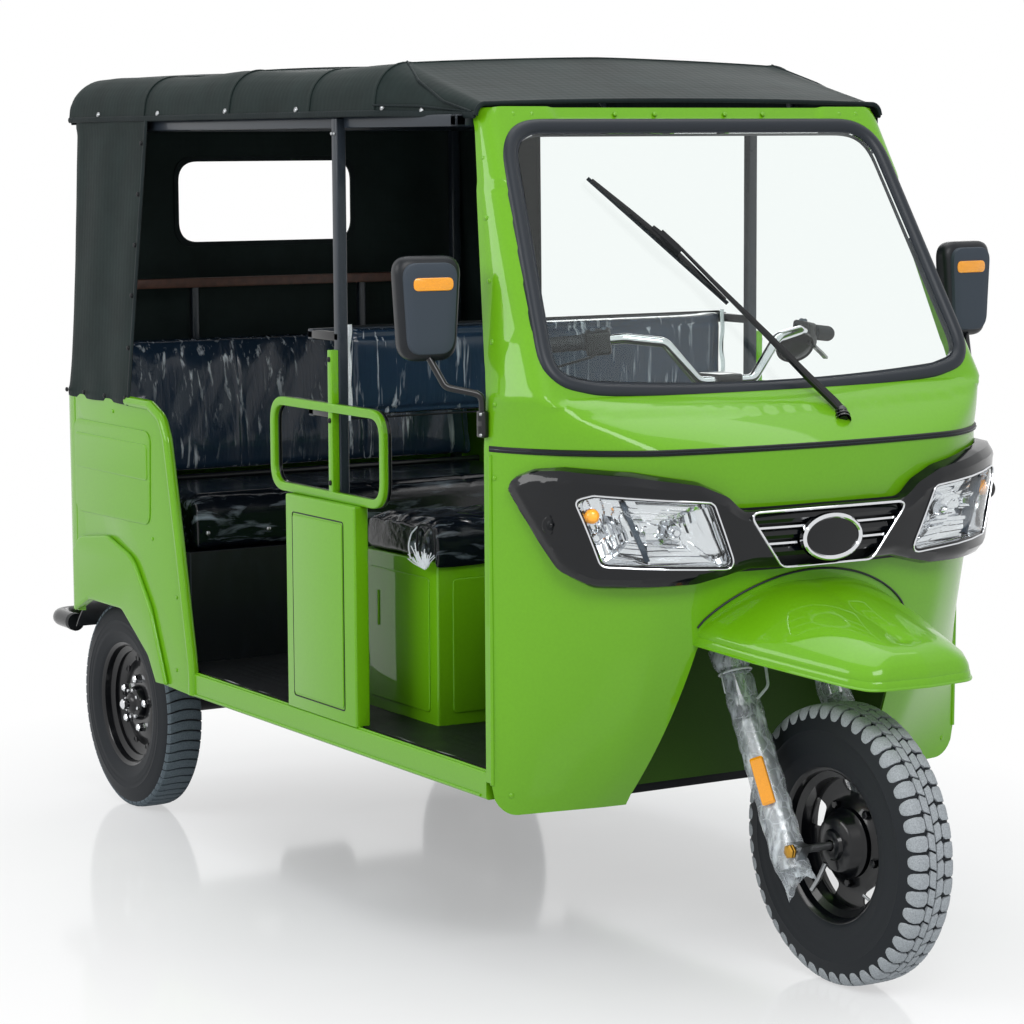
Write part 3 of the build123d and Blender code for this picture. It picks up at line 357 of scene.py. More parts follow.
def rounded(corners, radii, steps=8):
    """Outline with rounded corners; radii is one number, or one a corner."""
    count = len(corners)
    radii = [radii] * count if isinstance(radii, (int, float)) else radii
    outline = []
    for i, radius in enumerate(radii):
        before, here, after = (np.array(corners[(i + k) % count], float) for k in (-1, 0, 1))
        one, two = before - here, after - here
        room = 0.49 * min(np.linalg.norm(one), np.linalg.norm(two))
        one, two = one / np.linalg.norm(one), two / np.linalg.norm(two)
        half = acos(max(-1.0, min(1.0, float(one @ two)))) / 2
        cut = min(radius / tan(half), room)
        if radius <= 0:
            outline.append(tuple(here))
            continue
        shares = [k / steps for k in range(steps + 1)]
        outline += map(tuple, bend_points(here + one * cut, here, here + two * cut, shares))
    return outline


def slab(a, low, b, high, radii, steps=8):
    """Outline of a rectangle with rounded corners."""
    return rounded(oblong(a, low, b, high), radii, steps)


def lay(axis, level, outline):
    """Puts an outline's (a, b) points in the plane across an axis at a level."""
    order = {"X": lambda a, b: (level, a, b), "Y": lambda a, b: (a, level, b), "Z": lambda a, b: (a, b, level)}
    return [order[axis](a, b) for a, b in outline]


def ease(made, width, steps=3, angle=40):
    """Rounds over the sharp edges of a piece, as pressing and painting do."""
    return change(made, "BEVEL", width=width * MM, segments=steps, limit_method="ANGLE", angle_limit=radians(angle))


def plate(name, axis, span, outline, finish=green_enamel, edge=3.0, steps=3):
    """A plate between two levels of an axis, with its rims rounded over."""
    made = solid(name, [lay(axis, level, outline) for level in span], finish)
    return ease(made, edge, steps, 50) if edge else made


def frame_plate(name, axis, span, outline, hole, finish=green_enamel, edge=2.0):
    """A plate with a hole whose outline has as many points as its own."""
    low, high = span
    rows = [lay(axis, low, outline), lay(axis, high, outline), lay(axis, high, hole), lay(axis, low, hole)]
    return ease(solid(name, rows, finish, ring=True), edge, 3, 50)


def block(name, xs, ys, zs, finish=green_enamel, edge=2.0, steps=2):
    """A box with eased edges, between two levels of each axis."""
    return plate(name, "X", xs, oblong(ys[0], zs[0], ys[1], zs[1]), finish, edge, steps)


def route(points, bend, steps=8):
    """Straight runs joined by rounded bends."""
    path = [Vector(points[0])]
    for before, here, after in zip(points, points[1:], points[2:]):
        before, here, after = Vector(before), Vector(here), Vector(after)
        one, two = (before - here).normalized(), (after - here).normalized()
        cut = min(bend / tan(one.angle(two) / 2), 0.49 * (before - here).length, 0.49 * (after - here).length)
        path += bend_points(here + one * cut, here, here + two * cut, [k / steps for k in range(steps + 1)])
    return path + [Vector(points[-1])]


def flat_route(points, bend, steps=8):
    """The same for points of a plane, as an array."""
    return np.array([tuple(p)[:2] for p in route([(*p, 0) for p in points], bend, steps)])


def evened(line, count, ends=True):
    """A flat line through evenly spaced points instead, and its length."""
    reach = np.concatenate([[0], np.cumsum(np.linalg.norm(np.diff(line, axis=0), axis=1))])
    even = np.linspace(0, reach[-1], count, endpoint=ends)
    return np.column_stack([np.interp(even, reach, line[:, k]) for k in (0, 1)]), reach[-1]


def mirrored(rows):
    """Rows of points on the other side of the vehicle."""
    return [[Vector((-p.x, p.y, p.z)) for p in row] for row in rows]


def sweep(name, path, section, finish=green_enamel, closed=False, up=None):
    """Carries a section of (side, up) points along a path. up is a direction, or a list."""
    rows = []
    count = len(path)
    path = [Vector(p) for p in path]
    for i, spot in enumerate(path):
        ahead = path[(i + 1) % count] if closed or i < count - 1 else spot
        back = path[i - 1] if closed or i else spot
        along = (ahead - back).normalized()
        if up is None:
            lift = along.orthogonal() if i == 0 else last - along * last.dot(along)
        else:
            lift = Vector(up[i] if isinstance(up, list) else up)
            lift = lift - along * lift.dot(along)
        last = lift.normalized()
        side = along.cross(last)
        rows.append([spot + side * a + last * b for a, b in section])
    return solid(name, rows, finish, ring=closed)


def circle(radius, sides=12, flat=1.0):
    """Points of a round section."""
    return [(radius * cos(2 * pi * k / sides), flat * radius * sin(2 * pi * k / sides))
            for k in range(sides)]


def bar(name, points, radius, finish=green_enamel, bend=0, closed=False, sides=12):
    """A round bar or pipe bent along points."""
    path = route(points, bend) if bend and len(points) > 2 else points
    return sweep(name, path, circle(radius, sides), finish, closed)


def joined(name, pieces):
    """Joins pieces into one mesh and keeps their finishes."""
    points, faces, finishes, index = [], [], [], []
    for piece in pieces:
        for finish in piece.data.materials:
            if finish not in finishes:
                finishes.append(finish)
        own = [finishes.index(finish) for finish in piece.data.materials]
        start = len(points)
        points += [tuple(v.co) for v in piece.data.vertices]
        faces += [tuple(start + v for v in f.vertices) for f in piece.data.polygons]
        index += [own[f.material_index] for f in piece.data.polygons]
    mesh = bpy.data.meshes.new(name)
    mesh.from_pydata(points, [], faces)
    for finish in finishes:
        mesh.materials.append(finish)
    mesh.polygons.foreach_set("material_index", index)
    for piece in pieces:
        bpy.data.objects.remove(piece)
    made = bpy.data.objects.new(name, mesh)
    scene.collection.objects.link(made)
    return made


def carve(made, *tools):
    """Cuts tools out of a piece and removes them."""
    for tool in tools:
        change(made, "BOOLEAN", operation="DIFFERENCE", object=tool, solver="EXACT")
        bpy.data.objects.remove(tool)
    return made


def heads(name, spots, radius, height, finish=green_enamel, sides=10):
    """Domed screw or rivet heads, each at a spot and facing along a direction."""
    points, faces = [], []
    for spot, out in spots:
        out = Vector(out).normalized()
        side = out.orthogonal().normalized()
        rings = [(1.0, -0.3), (1.0, 0.2), (0.85, 0.65), (0.45, 0.95)]
        start = len(points)
        for wide, high in rings:
            for k in range(sides):
                a = 2 * pi * k / sides
                ring = side * cos(a) + out.cross(side) * sin(a)
                points.append(Vector(spot) + ring * radius * wide + out * height * high)
        points.append(Vector(spot) + out * height)
        for r in range(len(rings)):
            a = start + r * sides
            for k in range(sides):
                near = (a + k, a + (k + 1) % sides)
                faces.append(near + ((a + sides + (k + 1) % sides,
                        a + sides + k) if r < len(rings) - 1 else (len(points) - 1,)))
    return shape(name, points, faces, finish)


SIDES = (-1, 1)
WORD = {-1: "right", 1: "left"}

# %% [markdown]
# ## Camera, floor and light
# The vehicle is seen from its front right corner through a long lens at chest height. The floor is
# polished and pale: near the wheels it holds their reflection, and further out it fades to white,
# which only the camera, mirrors and glass see.

# %% Camera
YAW, PITCH, ROLL = radians(31.2), radians(6.91), radians(-0.32)
EYE = Vector((-3.706, -6.048, 1.696))
ahead = Vector((sin(YAW) * cos(PITCH), cos(YAW) * cos(PITCH), -sin(PITCH)))
level = Vector((cos(YAW), -sin(YAW), 0))
upward = level.cross(ahead)
right = level * cos(ROLL) + upward * sin(ROLL)
above = upward * cos(ROLL) - level * sin(ROLL)
lens = bpy.data.cameras.new("camera")
lens.lens = 107.1
lens.sensor_width = 36.0
lens.clip_end = 200.0
camera = bpy.data.objects.new("camera", lens)
scene.collection.objects.link(camera)
turn = Matrix((right, above, -ahead)).transposed().to_4x4()
camera.matrix_world = Matrix.Translation(EYE) @ turn
scene.camera = camera
print("camera", tuple(round(v, 3) for v in EYE), "lens", lens.lens, "mm")

# %% Floor, world and lamps
def sees_white(tree):
    """1 for camera, glass and mirror rays, which see the plain white surroundings."""
    path = add(tree, "LightPath").outputs
    seen = path["Is Camera Ray"]
    for kind in ("Is Transmission Ray", "Is Glossy Ray"):
        seen = add(tree, "Math", {"operation": "MAXIMUM"}, i0=seen, i1=path[kind])
    return seen


def stage_finish():
    """Polished pale floor that fades to plain white away from the vehicle."""
    material, tree, spot = finish_named("polished_floor")
    haze = add(tree, "TexNoise", Vector=spot, Scale=1.4, Detail=3.0)
    colour = add(tree, "ValToRGB", stops=[(0.3, tint("#D9DCDF")), (0.7, tint("#E6E8EA"))], Fac=haze)
    ripple = add(tree, "Bump", Height=haze, Distance=0.4 * MM, Strength=0.3)
    gloss = add(tree, "BsdfPrincipled", Base_Color=colour, Roughness=0.1, Normal=ripple, Specular_IOR_Level=0.85)
    oval = add(tree, "Mapping", Vector=spot, Scale=(0.42, 0.3, 1.0))
    reach = add(tree, "VectorMath", {"operation": "LENGTH"}, i0=oval).outputs["Value"]
    fade = add(tree, "ValToRGB", stops=[(0.22, 0.34), (0.72, 1)], Fac=reach)
    amount = add(tree, "Math", {"operation": "MULTIPLY"}, i0=fade, i1=sees_white(tree))
    white = add(tree, "Emission", Color=tint("#FFFFFF"), Strength=1.0)
    mixed = add(tree, "MixShader", i0=amount, i1=gloss, i2=white)
    add(tree, "OutputMaterial", Surface=mixed)
    return material


ring = [(60000 * cos(a), 60000 * sin(a), 0) for a in around(64)]
floor = shape("studio_floor", ring, [tuple(range(64))], stage_finish())

world = bpy.data.worlds.new("studio")
scene.world = world
world.use_nodes = True
sky = world.node_tree
sky.nodes.clear()
shine = add(sky, "Background", Color=tint("#F2F5F8"), Strength=0.52)
plain = add(sky, "Background", Color=tint("#FFFFFF"), Strength=1.0)
both = add(sky, "MixShader", i0=sees_white(sky), i1=shine, i2=plain)
add(sky, "OutputWorld", Surface=both)


def lamp(name, spot, aim, size, power):
    """A soft box over the floor."""
    light = bpy.data.lights.new(name, "AREA")
    light.shape = "RECTANGLE"
    light.size, light.size_y = size
    light.energy = power
    holder = bpy.data.objects.new(name, light)
    scene.collection.objects.link(holder)
    holder.location = spot
    holder.rotation_euler = (Vector(aim) - Vector(spot)).to_track_quat("-Z", "Y").to_euler()


lamp("key_box", (-1.5, -5.5, 4.6), (0, -0.4, 0.8), (3.4, 2.2), 185)
lamp("side_box", (-5.5, 0.5, 3.4), (0, 0.3, 0.8), (4.5, 2.0), 130)
lamp("top_box", (0.5, 0.2, 5.2), (0, 0, 0.5), (4.0, 4.0), 85)
lamp("rear_box", (3.5, 4.5, 3.2), (0, 0.5, 0.8), (3.0, 2.0), 60)
scene.view_settings.view_transform = "Standard"
print("lamps", len(bpy.data.lights))
# %% [markdown]
# ## The leg shield's curve
# The shield is one pressing whose plan, at every height, is a flat bow in the middle and a
# tighter one at each corner. Three points fix a bow, so a short table of sections does it all.
# A grid of quads is used instead of a solid, so that creases can be raised in it.

# %% Plan of the shield at any height
BELT = (1087, 360, -1105, -1140, 500, -1010, 600, -832)
LOWER = np.array([(335, 360, -872, -890, 500, -848, 600, -832), (600, 360, -1018, -1052, 500, -928, 600, -832),
                  (850, 360, -1083, -1119, 500, -990, 600, -832), BELT], float)
SLOPE = 0.537
SILL = -974.6 + SLOPE * (1190 - 1176)
HEAD = -974.6 + SLOPE * (1768 - 1176)
UPPER = np.array([BELT, (1190, 548, SILL, SILL, 582, -920, 598, -838),
                  (1768, 474, HEAD, HEAD, 494, HEAD + 5, 505, HEAD + 21)], float)


def bow(a, b, c, steps):
    """Points on the circle through three points, or on the line if they are in a row."""
    a, b, c = (np.array(p, float) for p in (a, b, c))
    d = 2 * (a[0] * (b[1] - c[1]) + b[0] * (c[1] - a[1]) + c[0] * (a[1] - b[1]))
    t = np.linspace(0, 1, steps)[:, None]
    if abs(d) < 1e-3 * np.linalg.norm(c - a) ** 2:
        return a + (c - a) * t
    sa, sb, sc = a @ a, b @ b, c @ c
    hub = np.array([sa * (b[1] - c[1]) + sb * (c[1] - a[1]) + sc * (a[1] - b[1]),
                    sa * (c[0] - b[0]) + sb * (a[0] - c[0]) + sc * (b[0] - a[0])]) / d
    angles = np.unwrap([atan2(*(p - hub)[::-1]) for p in (a, b, c)])
    if not min(angles[0], angles[2]) <= angles[1] <= max(angles[0], angles[2]):
        angles[2] += 2 * pi * (1 if angles[1] > angles[0] else -1)
    turn = angles[0] + (angles[2] - angles[0]) * t
    return hub + np.linalg.norm(a - hub) * np.hstack([np.cos(turn), np.sin(turn)])


def section_at(z):
    """The plan's numbers at a height: a cubic through the lower sections, straight above."""
    if z <= BELT[0]:
        heights = LOWER[:, 0]
        weights = [np.prod([(z - q) / (p - q) for q in heights if q != p]) for p in heights]
        return np.array(weights) @ LOWER[:, 1:].copy()
    below = z < UPPER[1, 0]
    low, high = UPPER[:2] if below else UPPER[1:]
    t = (z - low[0]) / (high[0] - low[0])
    mixed = low[1:] * (1 - t) + high[1:] * t
    if below:
        mixed[[1, 2, 4]] -= np.array([10, 12, 6]) * sin(pi * t)
    return mixed


HALF = 72
REACH = np.arange(HALF + 1)


def shield_plan(z):
    """Even points of the plan's left half, from the middle to the doorway flange."""
    cx, cy, middle, kx, ky, fx, fy = section_at(z)
    crown = bow((-cx, cy), (0, middle), (cx, cy), 121)[60:]
    corner = bow((cx, cy), (kx, ky), (fx, fy), 60)
    line = evened(np.vstack([crown, corner[1:]]), HALF + 1)[0]
    mirror = np.vstack([line[:0:-1] * (-1, 1), line])
    for _ in range(6):
        mirror[1:-1] = (mirror[:-2] + 2 * mirror[1:-1] + mirror[2:]) / 4
    return mirror[HALF:]


# %% The shield as a table of rows, 6 mm apart
LEVELS = np.array([*np.linspace(335, 1087, 126), *np.linspace(1093, 1190, 17), *np.linspace(1196, 1768, 96)])
PLANS = np.array([shield_plan(z) for z in LEVELS])
ALONG = np.gradient(PLANS, axis=1)
ALONG /= np.linalg.norm(ALONG, axis=2)[:, :, None]
OUTWARD = np.stack([ALONG[:, :, 1], -ALONG[:, :, 0]], axis=2)
TAPER = 1 - 0.85 * np.clip((REACH / HALF - 0.72) / 0.28, 0, 1)


def face_row(z, out=0.0):
    """The left half of the shield's plan at a height, moved out along the face."""
    k = min(max(int(np.searchsorted(LEVELS, z)) - 1, 0), len(LEVELS) - 2)
    t = (z - LEVELS[k]) / (LEVELS[k + 1] - LEVELS[k])
    row = PLANS[k] * (1 - t) + PLANS[k + 1] * t
    return row + (OUTWARD[k] * (1 - t) + OUTWARD[k + 1] * t) * (out * TAPER)[:, None]


def face(share, z, out=0.0):
    """A point of the face: share counts steps from the middle, negative to the right."""
    row = face_row(z, out)
    x, y = (float(np.interp(abs(share), REACH, row[:, k])) for k in (0, 1))
    return Vector((copysign(x, share) if share else 0.0, y, z))


def share_of(x, z, out=0.0):
    """Steps from the middle at which the face has this x, seen from the front."""
    row = face_row(z, out)
    return copysign(float(np.interp(abs(x), row[:, 0], REACH)), x)


def on_shield(x, z, out=0.0):
    """The point of the face seen at (x, z) from the front, moved out by some millimetres."""
    return face(share_of(x, z, out), z, out)


UP = Vector((0, sin(atan(SLOPE)), cos(atan(SLOPE))))
FACE = Vector((0, -UP.z, UP.y))
FOOT = Vector((0, -974.6, 1176))


def on_screen(u, v, height=0.0):
    """A point of the windscreen's plane: u across, v up the glass, height in front of it."""
    return FOOT + Vector((u, 0, 0)) + UP * v + FACE * height


def screen_outline(inset, steps=10):
    """The windscreen seal's outline, moved in by inset."""
    low = (548 - inset, 28 + inset)
    top = (484 - inset, 644 - inset)
    bottom = [tuple(p) for p in bow((-low[0], low[1]), (0, inset), low, 25)]
    corners = bottom + [top, (-top[0], top[1])]
    radii = [85 - inset] + [0] * 23 + [85 - inset, 105 - inset, 105 - inset]
    return rounded_runs(corners, radii, steps)


def rounded_runs(corners, radii, steps):
    """Like rounded, but a corner may cut past the short runs of a bowed side next to it."""
    sharp = [np.array(c, float) for c in corners]
    keep = [i for i, radius in enumerate(radii) if radius > 0]
    outline = []
    count = len(sharp)
    for n, i in enumerate(keep):
        here, radius = sharp[i], radii[i]
        before, after = sharp[keep[n - 1]], sharp[keep[(n + 1) % len(keep)]]
        one, two = before - here, after - here
        one, two = one / np.linalg.norm(one), two / np.linalg.norm(two)
        cut = radius / tan(acos(float(one @ two)) / 2)
        shares = np.linspace(0, 1, steps + 1)
        outline += map(tuple, bend_points(here + one * cut, here, here + two * cut, shares))
        following = keep[(n + 1) % len(keep)]
        k = (i + 1) % count
        while k != following:
            if np.linalg.norm(sharp[k] - here) > cut and np.linalg.norm(sharp[k] - sharp[following]) > cut:
                outline.append(tuple(sharp[k]))
            k = (k + 1) % count
    return outline


print("face table", PLANS.shape, "middle of the belt", face(0, 1087))

# %% [markdown]
# ## Leg shield and windscreen surround
# The face is a fine grid so that the pressed step around the windscreen, 55 mm outside the
# seal, can be raised in it. It is then thickened and the windscreen, the lamp holes and the
# fork's opening are cut, as the press tools do.

# %% Fascia grid
def step_up(value, low, high):
    """0 below low, 1 above high, a smooth rise between."""
    t = np.clip((value - low) / (high - low), 0, 1)
    return t * t * (3 - 2 * t)


seal_line = np.array(screen_outline(0))


def seal_distance(point):
    """How far a point is outside the seal's outline, seen square to the glass."""
    local = Vector(point) - FOOT
    u, v = local.x, local.dot(UP)
    near = float(np.min(np.hypot(seal_line[:, 0] - u, seal_line[:, 1] - v)))
    inside = abs(u) < np.interp(v, [28, 644], [548, 484]) and 0 < v < 644
    return -near if inside else near


shares = range(-HALF, HALF + 1)
foot = [335 + 70 * (1 - sqrt(1 - max(0.0, abs(k) / HALF - 0.9) ** 2 * 100)) for k in shares]
heights = [[low + (BELT[0] - low) * t for low in foot] for t in np.linspace(0, 1, 80)]
heights += [[z] * len(foot) for z in [*np.linspace(1094, 1190, 15), *np.linspace(1198, 1768, 72)]]
grid = []
for row in heights:
    points = [face(k, z) for k, z in zip(shares, row)]
    if row[0] > 1090:
        points = [p + FACE * (5.0 * (1 - step_up(seal_distance(p), 44, 58))) for p in points]
    first, last = points[0], points[-1]
    grid.append([first + Vector((0, 20, 0)), *points, last + Vector((0, 20, 0))])
fascia = shape("front_fascia_skin", *rows_skin(grid))
change(fascia, "SOLIDIFY", thickness=5 * MM, offset=-1, use_even_offset=False)
print("fascia grid", len(grid), "x", len(grid[0]))

# %% Openings of the fascia
LENS = [(225, 858), (283, 986), (500, 1005), (527, 996), (482, 872)]


def front_tool(name, outline):
    """A cutter with a front-view outline, pushed through the shield."""
    return plate(name, "Y", (-1400, -600), outline, edge=0)


def screen_tool(name, inset, depth):
    """A cutter through the windscreen's plane."""
    rows = [[on_screen(u, v, h) for u, v in screen_outline(inset)] for h in (-depth, depth)]
    return solid(name, rows)


fork_opening = [(303, 300), (303, 360), (253, 690), (190, 765), (-190, 765), (-253, 690), (-303, 360), (-303, 300)]
carve(fascia, screen_tool("cut_screen", 8, 90),
      front_tool("cut_fork", rounded(fork_opening, [0, 10, 60, 60, 60, 60, 10, 0])),
      *(front_tool("cut_lens", rounded([(s * x, z) for x, z in LENS], 14)) for s in SIDES))
mount(fascia, "front_fascia", crease=30)
print("fascia faces", len(fascia.data.polygons))

# %% Rivets and corner screw
def door_edge(z, steps, side=-1):
    """A point on the shield's side, some steps in from the doorway flange, and the way it faces."""
    spot = face(side * (HALF - steps), z)
    return spot, face(side * (HALF - steps), z, 1.0) - spot


spots = [door_edge(z, 1.4, s) for s in SIDES for z in (1030, 1178, 1300, 1420, 1545, 1665)]
spots += [(on_screen(x, 655, 3), FACE) for x in (-440, -395, -190, -90, 90, 190, 395, 440)]
mount(heads("fascia_rivets", spots, 5.5, 3.2))
screws = [door_edge(378, 5, s) for s in SIDES]
mount(heads("corner_screws", screws, 6, 2.5))
for side in SIDES:
    edge_line = [door_edge(z, 0.3, side)[0] for z in np.linspace(402, 1075, 40)]
    mount(bar(f"door_bead_{WORD[side]}", edge_line, 4.5))

# %% [markdown]
# ## Belt strip
# A black rubber strip with a finer, paler bead runs round the shield. One ribbon swept along the
# shield's own plan can't drift off the metal.

# %% Belt ribbon
def ribbon(name, low, high, out, finish):
    """A raised strip around the shield between two heights."""
    section = [(low, -3.0), (low, out * 0.6), (low + 1.5, out), (high - 1.5, out), (high, out * 0.6), (high, -3.0)]
    rows = [[(*face(k, (low + high) / 2, depth)[:2], z) for z, depth in section] for k in shares]
    return solid(name, rows, finish)


mount(ribbon("belt_rubber", 1082, 1094, 5.0, dark_abs), "belt_trim")
mount(ribbon("belt_line", 1086, 1089, 7.0, tube_enamel))

# %% [markdown]
# ## Windscreen seal
# An extruded rubber profile, 34 mm wide, holds the glass and laps over the metal. Its soft section
# catches the long highlight, so it is carried round as a real section.

# %% Seal
loose = screen_outline(17)
path = evened(np.array(loose + loose[:1]), 300, ends=False)[0]
for _ in range(6):
    path = (np.roll(path, 1, 0) + 2 * path + np.roll(path, -1, 0)) / 4
section = [(-17, -14), (-17.5, 2), (-14, 8.5), (-7, 11.5), (1, 12), (8, 9.5), (11.5, 5), (13, 3), (17, 3), (17, -14)]
rows = []
for i, (u, v) in enumerate(path):
    ahead_point, back_point = np.array(path[(i + 1) % len(path)]), np.array(path[i - 1])
    along = (ahead_point - back_point) / np.linalg.norm(ahead_point - back_point)
    inward = np.array([-along[1], along[0]])
    if inward @ (np.array([0, 330]) - np.array([u, v])) < 0:
        inward = -inward
    rows.append([on_screen(u + inward[0] * a, v + inward[1] * a, h) for a, h in section])
mount(solid("screen_seal", rows, epdm, ring=True), "windscreen_seal", crease=50)
dress("windscreen_glass", screen_glass)
print("seal sections", len(rows))

# %% [markdown]
# ## Lamp mask
# One gloss black moulding carries both lamps and the grille: a broad chamfer round a flat face.
# Points are matched between its upper and lower edges, laid on the shield's face and lifted by how
# far they are from the edge.

# %% Mask surface
PROUD = 45.0
MASK_TOP = [(0, 972), (205, 970), (240, 1003), (300, 1029), (440, 1052), (548, 1061), (580, 1055), (596, 1035),
        (598, 1010)]
MASK_FOOT = [(0, 840), (180, 846), (298, 819), (400, 817), (496, 818), (546, 850), (574, 918), (593, 985), (598, 1010)]
STEP = 10.2


def across(x, z):
    """Distance around the face, from the middle, of a front-view point."""
    return share_of(x, z, PROUD) * STEP


def laid_out(points):
    """Front-view points as even (distance around the face, height) points with soft corners."""
    return evened(flat_route([(across(x, z), z) for x, z in points], 45), 90)[0]


top_edge, foot_edge = laid_out(MASK_TOP), laid_out(MASK_FOOT)
rim = np.vstack([foot_edge, top_edge[::-1]])
spread = [0, 0.012, 0.03, 0.06, 0.1, 0.14, 0.18, 0.23, *np.linspace(0.28, 0.72, 9), 0.77, 0.82, 0.86, 0.9, 0.94, 0.97,
        0.988, 1]
half_rows = []
for low, high in zip(foot_edge, top_edge):
    column = []
    for t in spread:
        a, z = low + (high - low) * t
        away = float(np.min(np.hypot(rim[:, 0] - a, rim[:, 1] - z)))
        lift = 6 + 22 * step_up(away, 0, 5) + 17 * min(away / 26, 1) - 2.5 * step_up(away, 26, 32)
        column.append(face(a / STEP, z, lift))
    half_rows.append(column)
mask = shape("lamp_mask", *rows_skin(mirrored(half_rows[:0:-1]) + half_rows), gloss_abs)
change(mask, "SOLIDIFY", thickness=14 * MM, offset=-1, use_even_offset=False)
GRILLE = [(-198, 963), (198, 963), (112, 850), (-112, 850)]
carve(mask, front_tool("cut_grille", rounded(GRILLE, [14, 14, 30, 30])),
      *(front_tool("cut_lamp", rounded([(s * x, z) for x, z in LENS], 16)) for s in SIDES))
mount(mask, "headlamp_mask", crease=32)
print("mask faces", len(mask.data.polygons))

# %% [markdown]
# ## Head lamps
# Each lamp is a clear cover over a chromed reflector cut into facets, with a small amber lamp in
# its outer corner. The facets are real: steps in a fan around each bulb.

# %% Lamp parts
def lamp_patch(name, side, inset, rings, depth, finish, detail=3):
    """A skin over one lamp's outline, from its rim to its middle, at a depth for each point."""
    outline = np.array(rounded([(across(x, z), z) for x, z in LENS], 16 - min(inset, 4), 6))
    following = np.roll(outline, -1, 0)
    parts = [outline + (following - outline) * t for t in np.linspace(0, 1, detail, endpoint=False)]
    outline = np.stack(parts, axis=1).reshape(-1, 2)
    hub = outline.mean(0)
    size = np.linalg.norm(outline - hub, axis=1).mean()
    rows = []
    for scale in np.linspace(1 - inset / size, 0.02, rings):
        rows.append([face(side * a / STEP, z, depth(a, z, scale)) for a, z in hub + (outline - hub) * scale])
    return solid(name, rows, finish, caps=False)


BULBS = {"main": (across(335, 930), 930, 62), "outer": (across(478, 925), 925, 44)}


def mirror_depth(a, z, scale):
    """Depth of the faceted reflector: a bowl and a fan of steps around the nearer bulb."""
    divider = np.interp(z, [881, 991], [across(402, 881), across(447, 991)])
    ba, bz, reach = BULBS["outer" if a > divider else "main"]
    away = hypot(a - ba, z - bz)
    fan = atan2(z - bz, a - ba) / (2 * pi) * 18 % 1
    bowl = 26 * (1 - step_up(away, 8, reach))
    return PROUD - 16 - bowl - 5 * fan - (14 if abs(a - divider) > 7 else 0)


for side, word in WORD.items():
    cover = lamp_patch(f"lamp_cover_{word}", side, 1.2, 9, lambda a, z, s: PROUD - 3 + 4 * (1 - s * s), lens_plastic, 1)
    change(cover, "SOLIDIFY", thickness=2.5 * MM, offset=-1)
    mount(cover, "headlamp_lenses" if side < 0 else ())
    bowls = lamp_patch(f"lamp_reflector_{word}", side, 0.5, 34, mirror_depth, chrome_plate)
    mount(bowls, "headlamp_reflectors" if side < 0 else (), crease=14)
    wall = [[face(side * share_of(x, z, PROUD), z, d) for x, z in rounded(LENS, 16)] for d in (PROUD - 6, PROUD - 40)]
    mount(solid(f"lamp_wall_{word}", wall, chrome_plate, caps=False))
    housing = lamp_patch(f"lamp_housing_{word}", side, -1.0, 10, lambda a, z,
            s: PROUD - (40 if s > 0.97 else 66 + 6 * (1 - s)), dark_abs, 1)
    change(housing, "SOLIDIFY", thickness=1.5 * MM, offset=0)
    mount(housing)
    post = [on_shield(side * x, z, PROUD - 14) for x, z in ((449, 995), (436, 960), (415, 910), (400, 876))]
    mount(sweep(f"lamp_divider_{word}", post, [(-5, -16), (-5, 5), (5, 5), (5, -16)], grained_abs,
            up=Vector((side * 0.45, -0.9, 0))))
    amber = heads(f"amber_lamp_{word}", [(on_shield(side * 492, 966, PROUD - 22), Vector((side * 0.5, -0.85, 0)))],
            15, 12, amber_acrylic, 20)
    mount(amber)
    bulb = heads(f"bulb_{word}", [(on_shield(side * 335, 930, PROUD - 44), (side * 0.3, -0.95, 0)),
                                  (on_shield(side * 472, 922, PROUD - 44),
                                          (side * 0.5, -0.85, 0))], 13, 22, chrome_plate, 20)
    mount(bulb)

# %% [markdown]
# ## Chrome lines, grille and badge
# Thin chrome strips edge the lamps and the grille. The oval badge is left blank.

# %% Bright trim
lines = []
for side in SIDES:
    outline = rounded([(side * x, z) for x, z in LENS], 18, 8)
    middle = np.mean(outline, axis=0)
    wider = [middle + (np.array(p) - middle) * (1.035, 1.075) for p in outline]
    wider = [a + (b - a) * t for a, b in zip(wider, wider[1:] + wider[:1]) for t in np.linspace(0, 1, 5)[:-1]]
    lines.append(sweep("lamp_line", [on_shield(x, z, PROUD - 0.5) for x, z in wider], circle(2.0, 8), chrome_plate,
            closed=True))
opening = [(x * 1.01, 906 + (z - 906) * 1.02) for x, z in rounded(GRILLE, [14, 14, 30, 30])]
lines.append(sweep("grille_rim", [on_shield(x, z, PROUD - 1.5) for x, z in opening], circle(2.6, 8), chrome_plate,
        closed=True))
for z, reach in ((931, 172), (898, 146)):
    lines.append(sweep("grille_line", [on_shield(x, z, PROUD - 9) for x in np.linspace(-reach, reach, 30)],
                       [(-2.2, -2), (-2.2, 2), (2.2, 2), (2.2, -2)], chrome_plate, up=(0, -1, 0)))
back = [[on_shield(x, z, PROUD - 30) for x in np.linspace(-205, 205, 30)] for z in np.linspace(842, 972, 8)]
louvres = [shape("grille_back", *rows_skin(back), dark_abs)]
for z, reach in ((947, 180), (914, 156), (880, 132)):
    louvres.append(sweep("louvre", [on_shield(x, z, PROUD - 16) for x in np.linspace(-reach, reach, 30)],
                         [(-9, -6), (-9, 2), (0, 6), (9, 2), (9, -6)], gloss_abs, up=(0, -1, 0)))
mount(joined("grille_louvres", louvres))
mount(joined("chrome_lines", lines), "grille_trim")

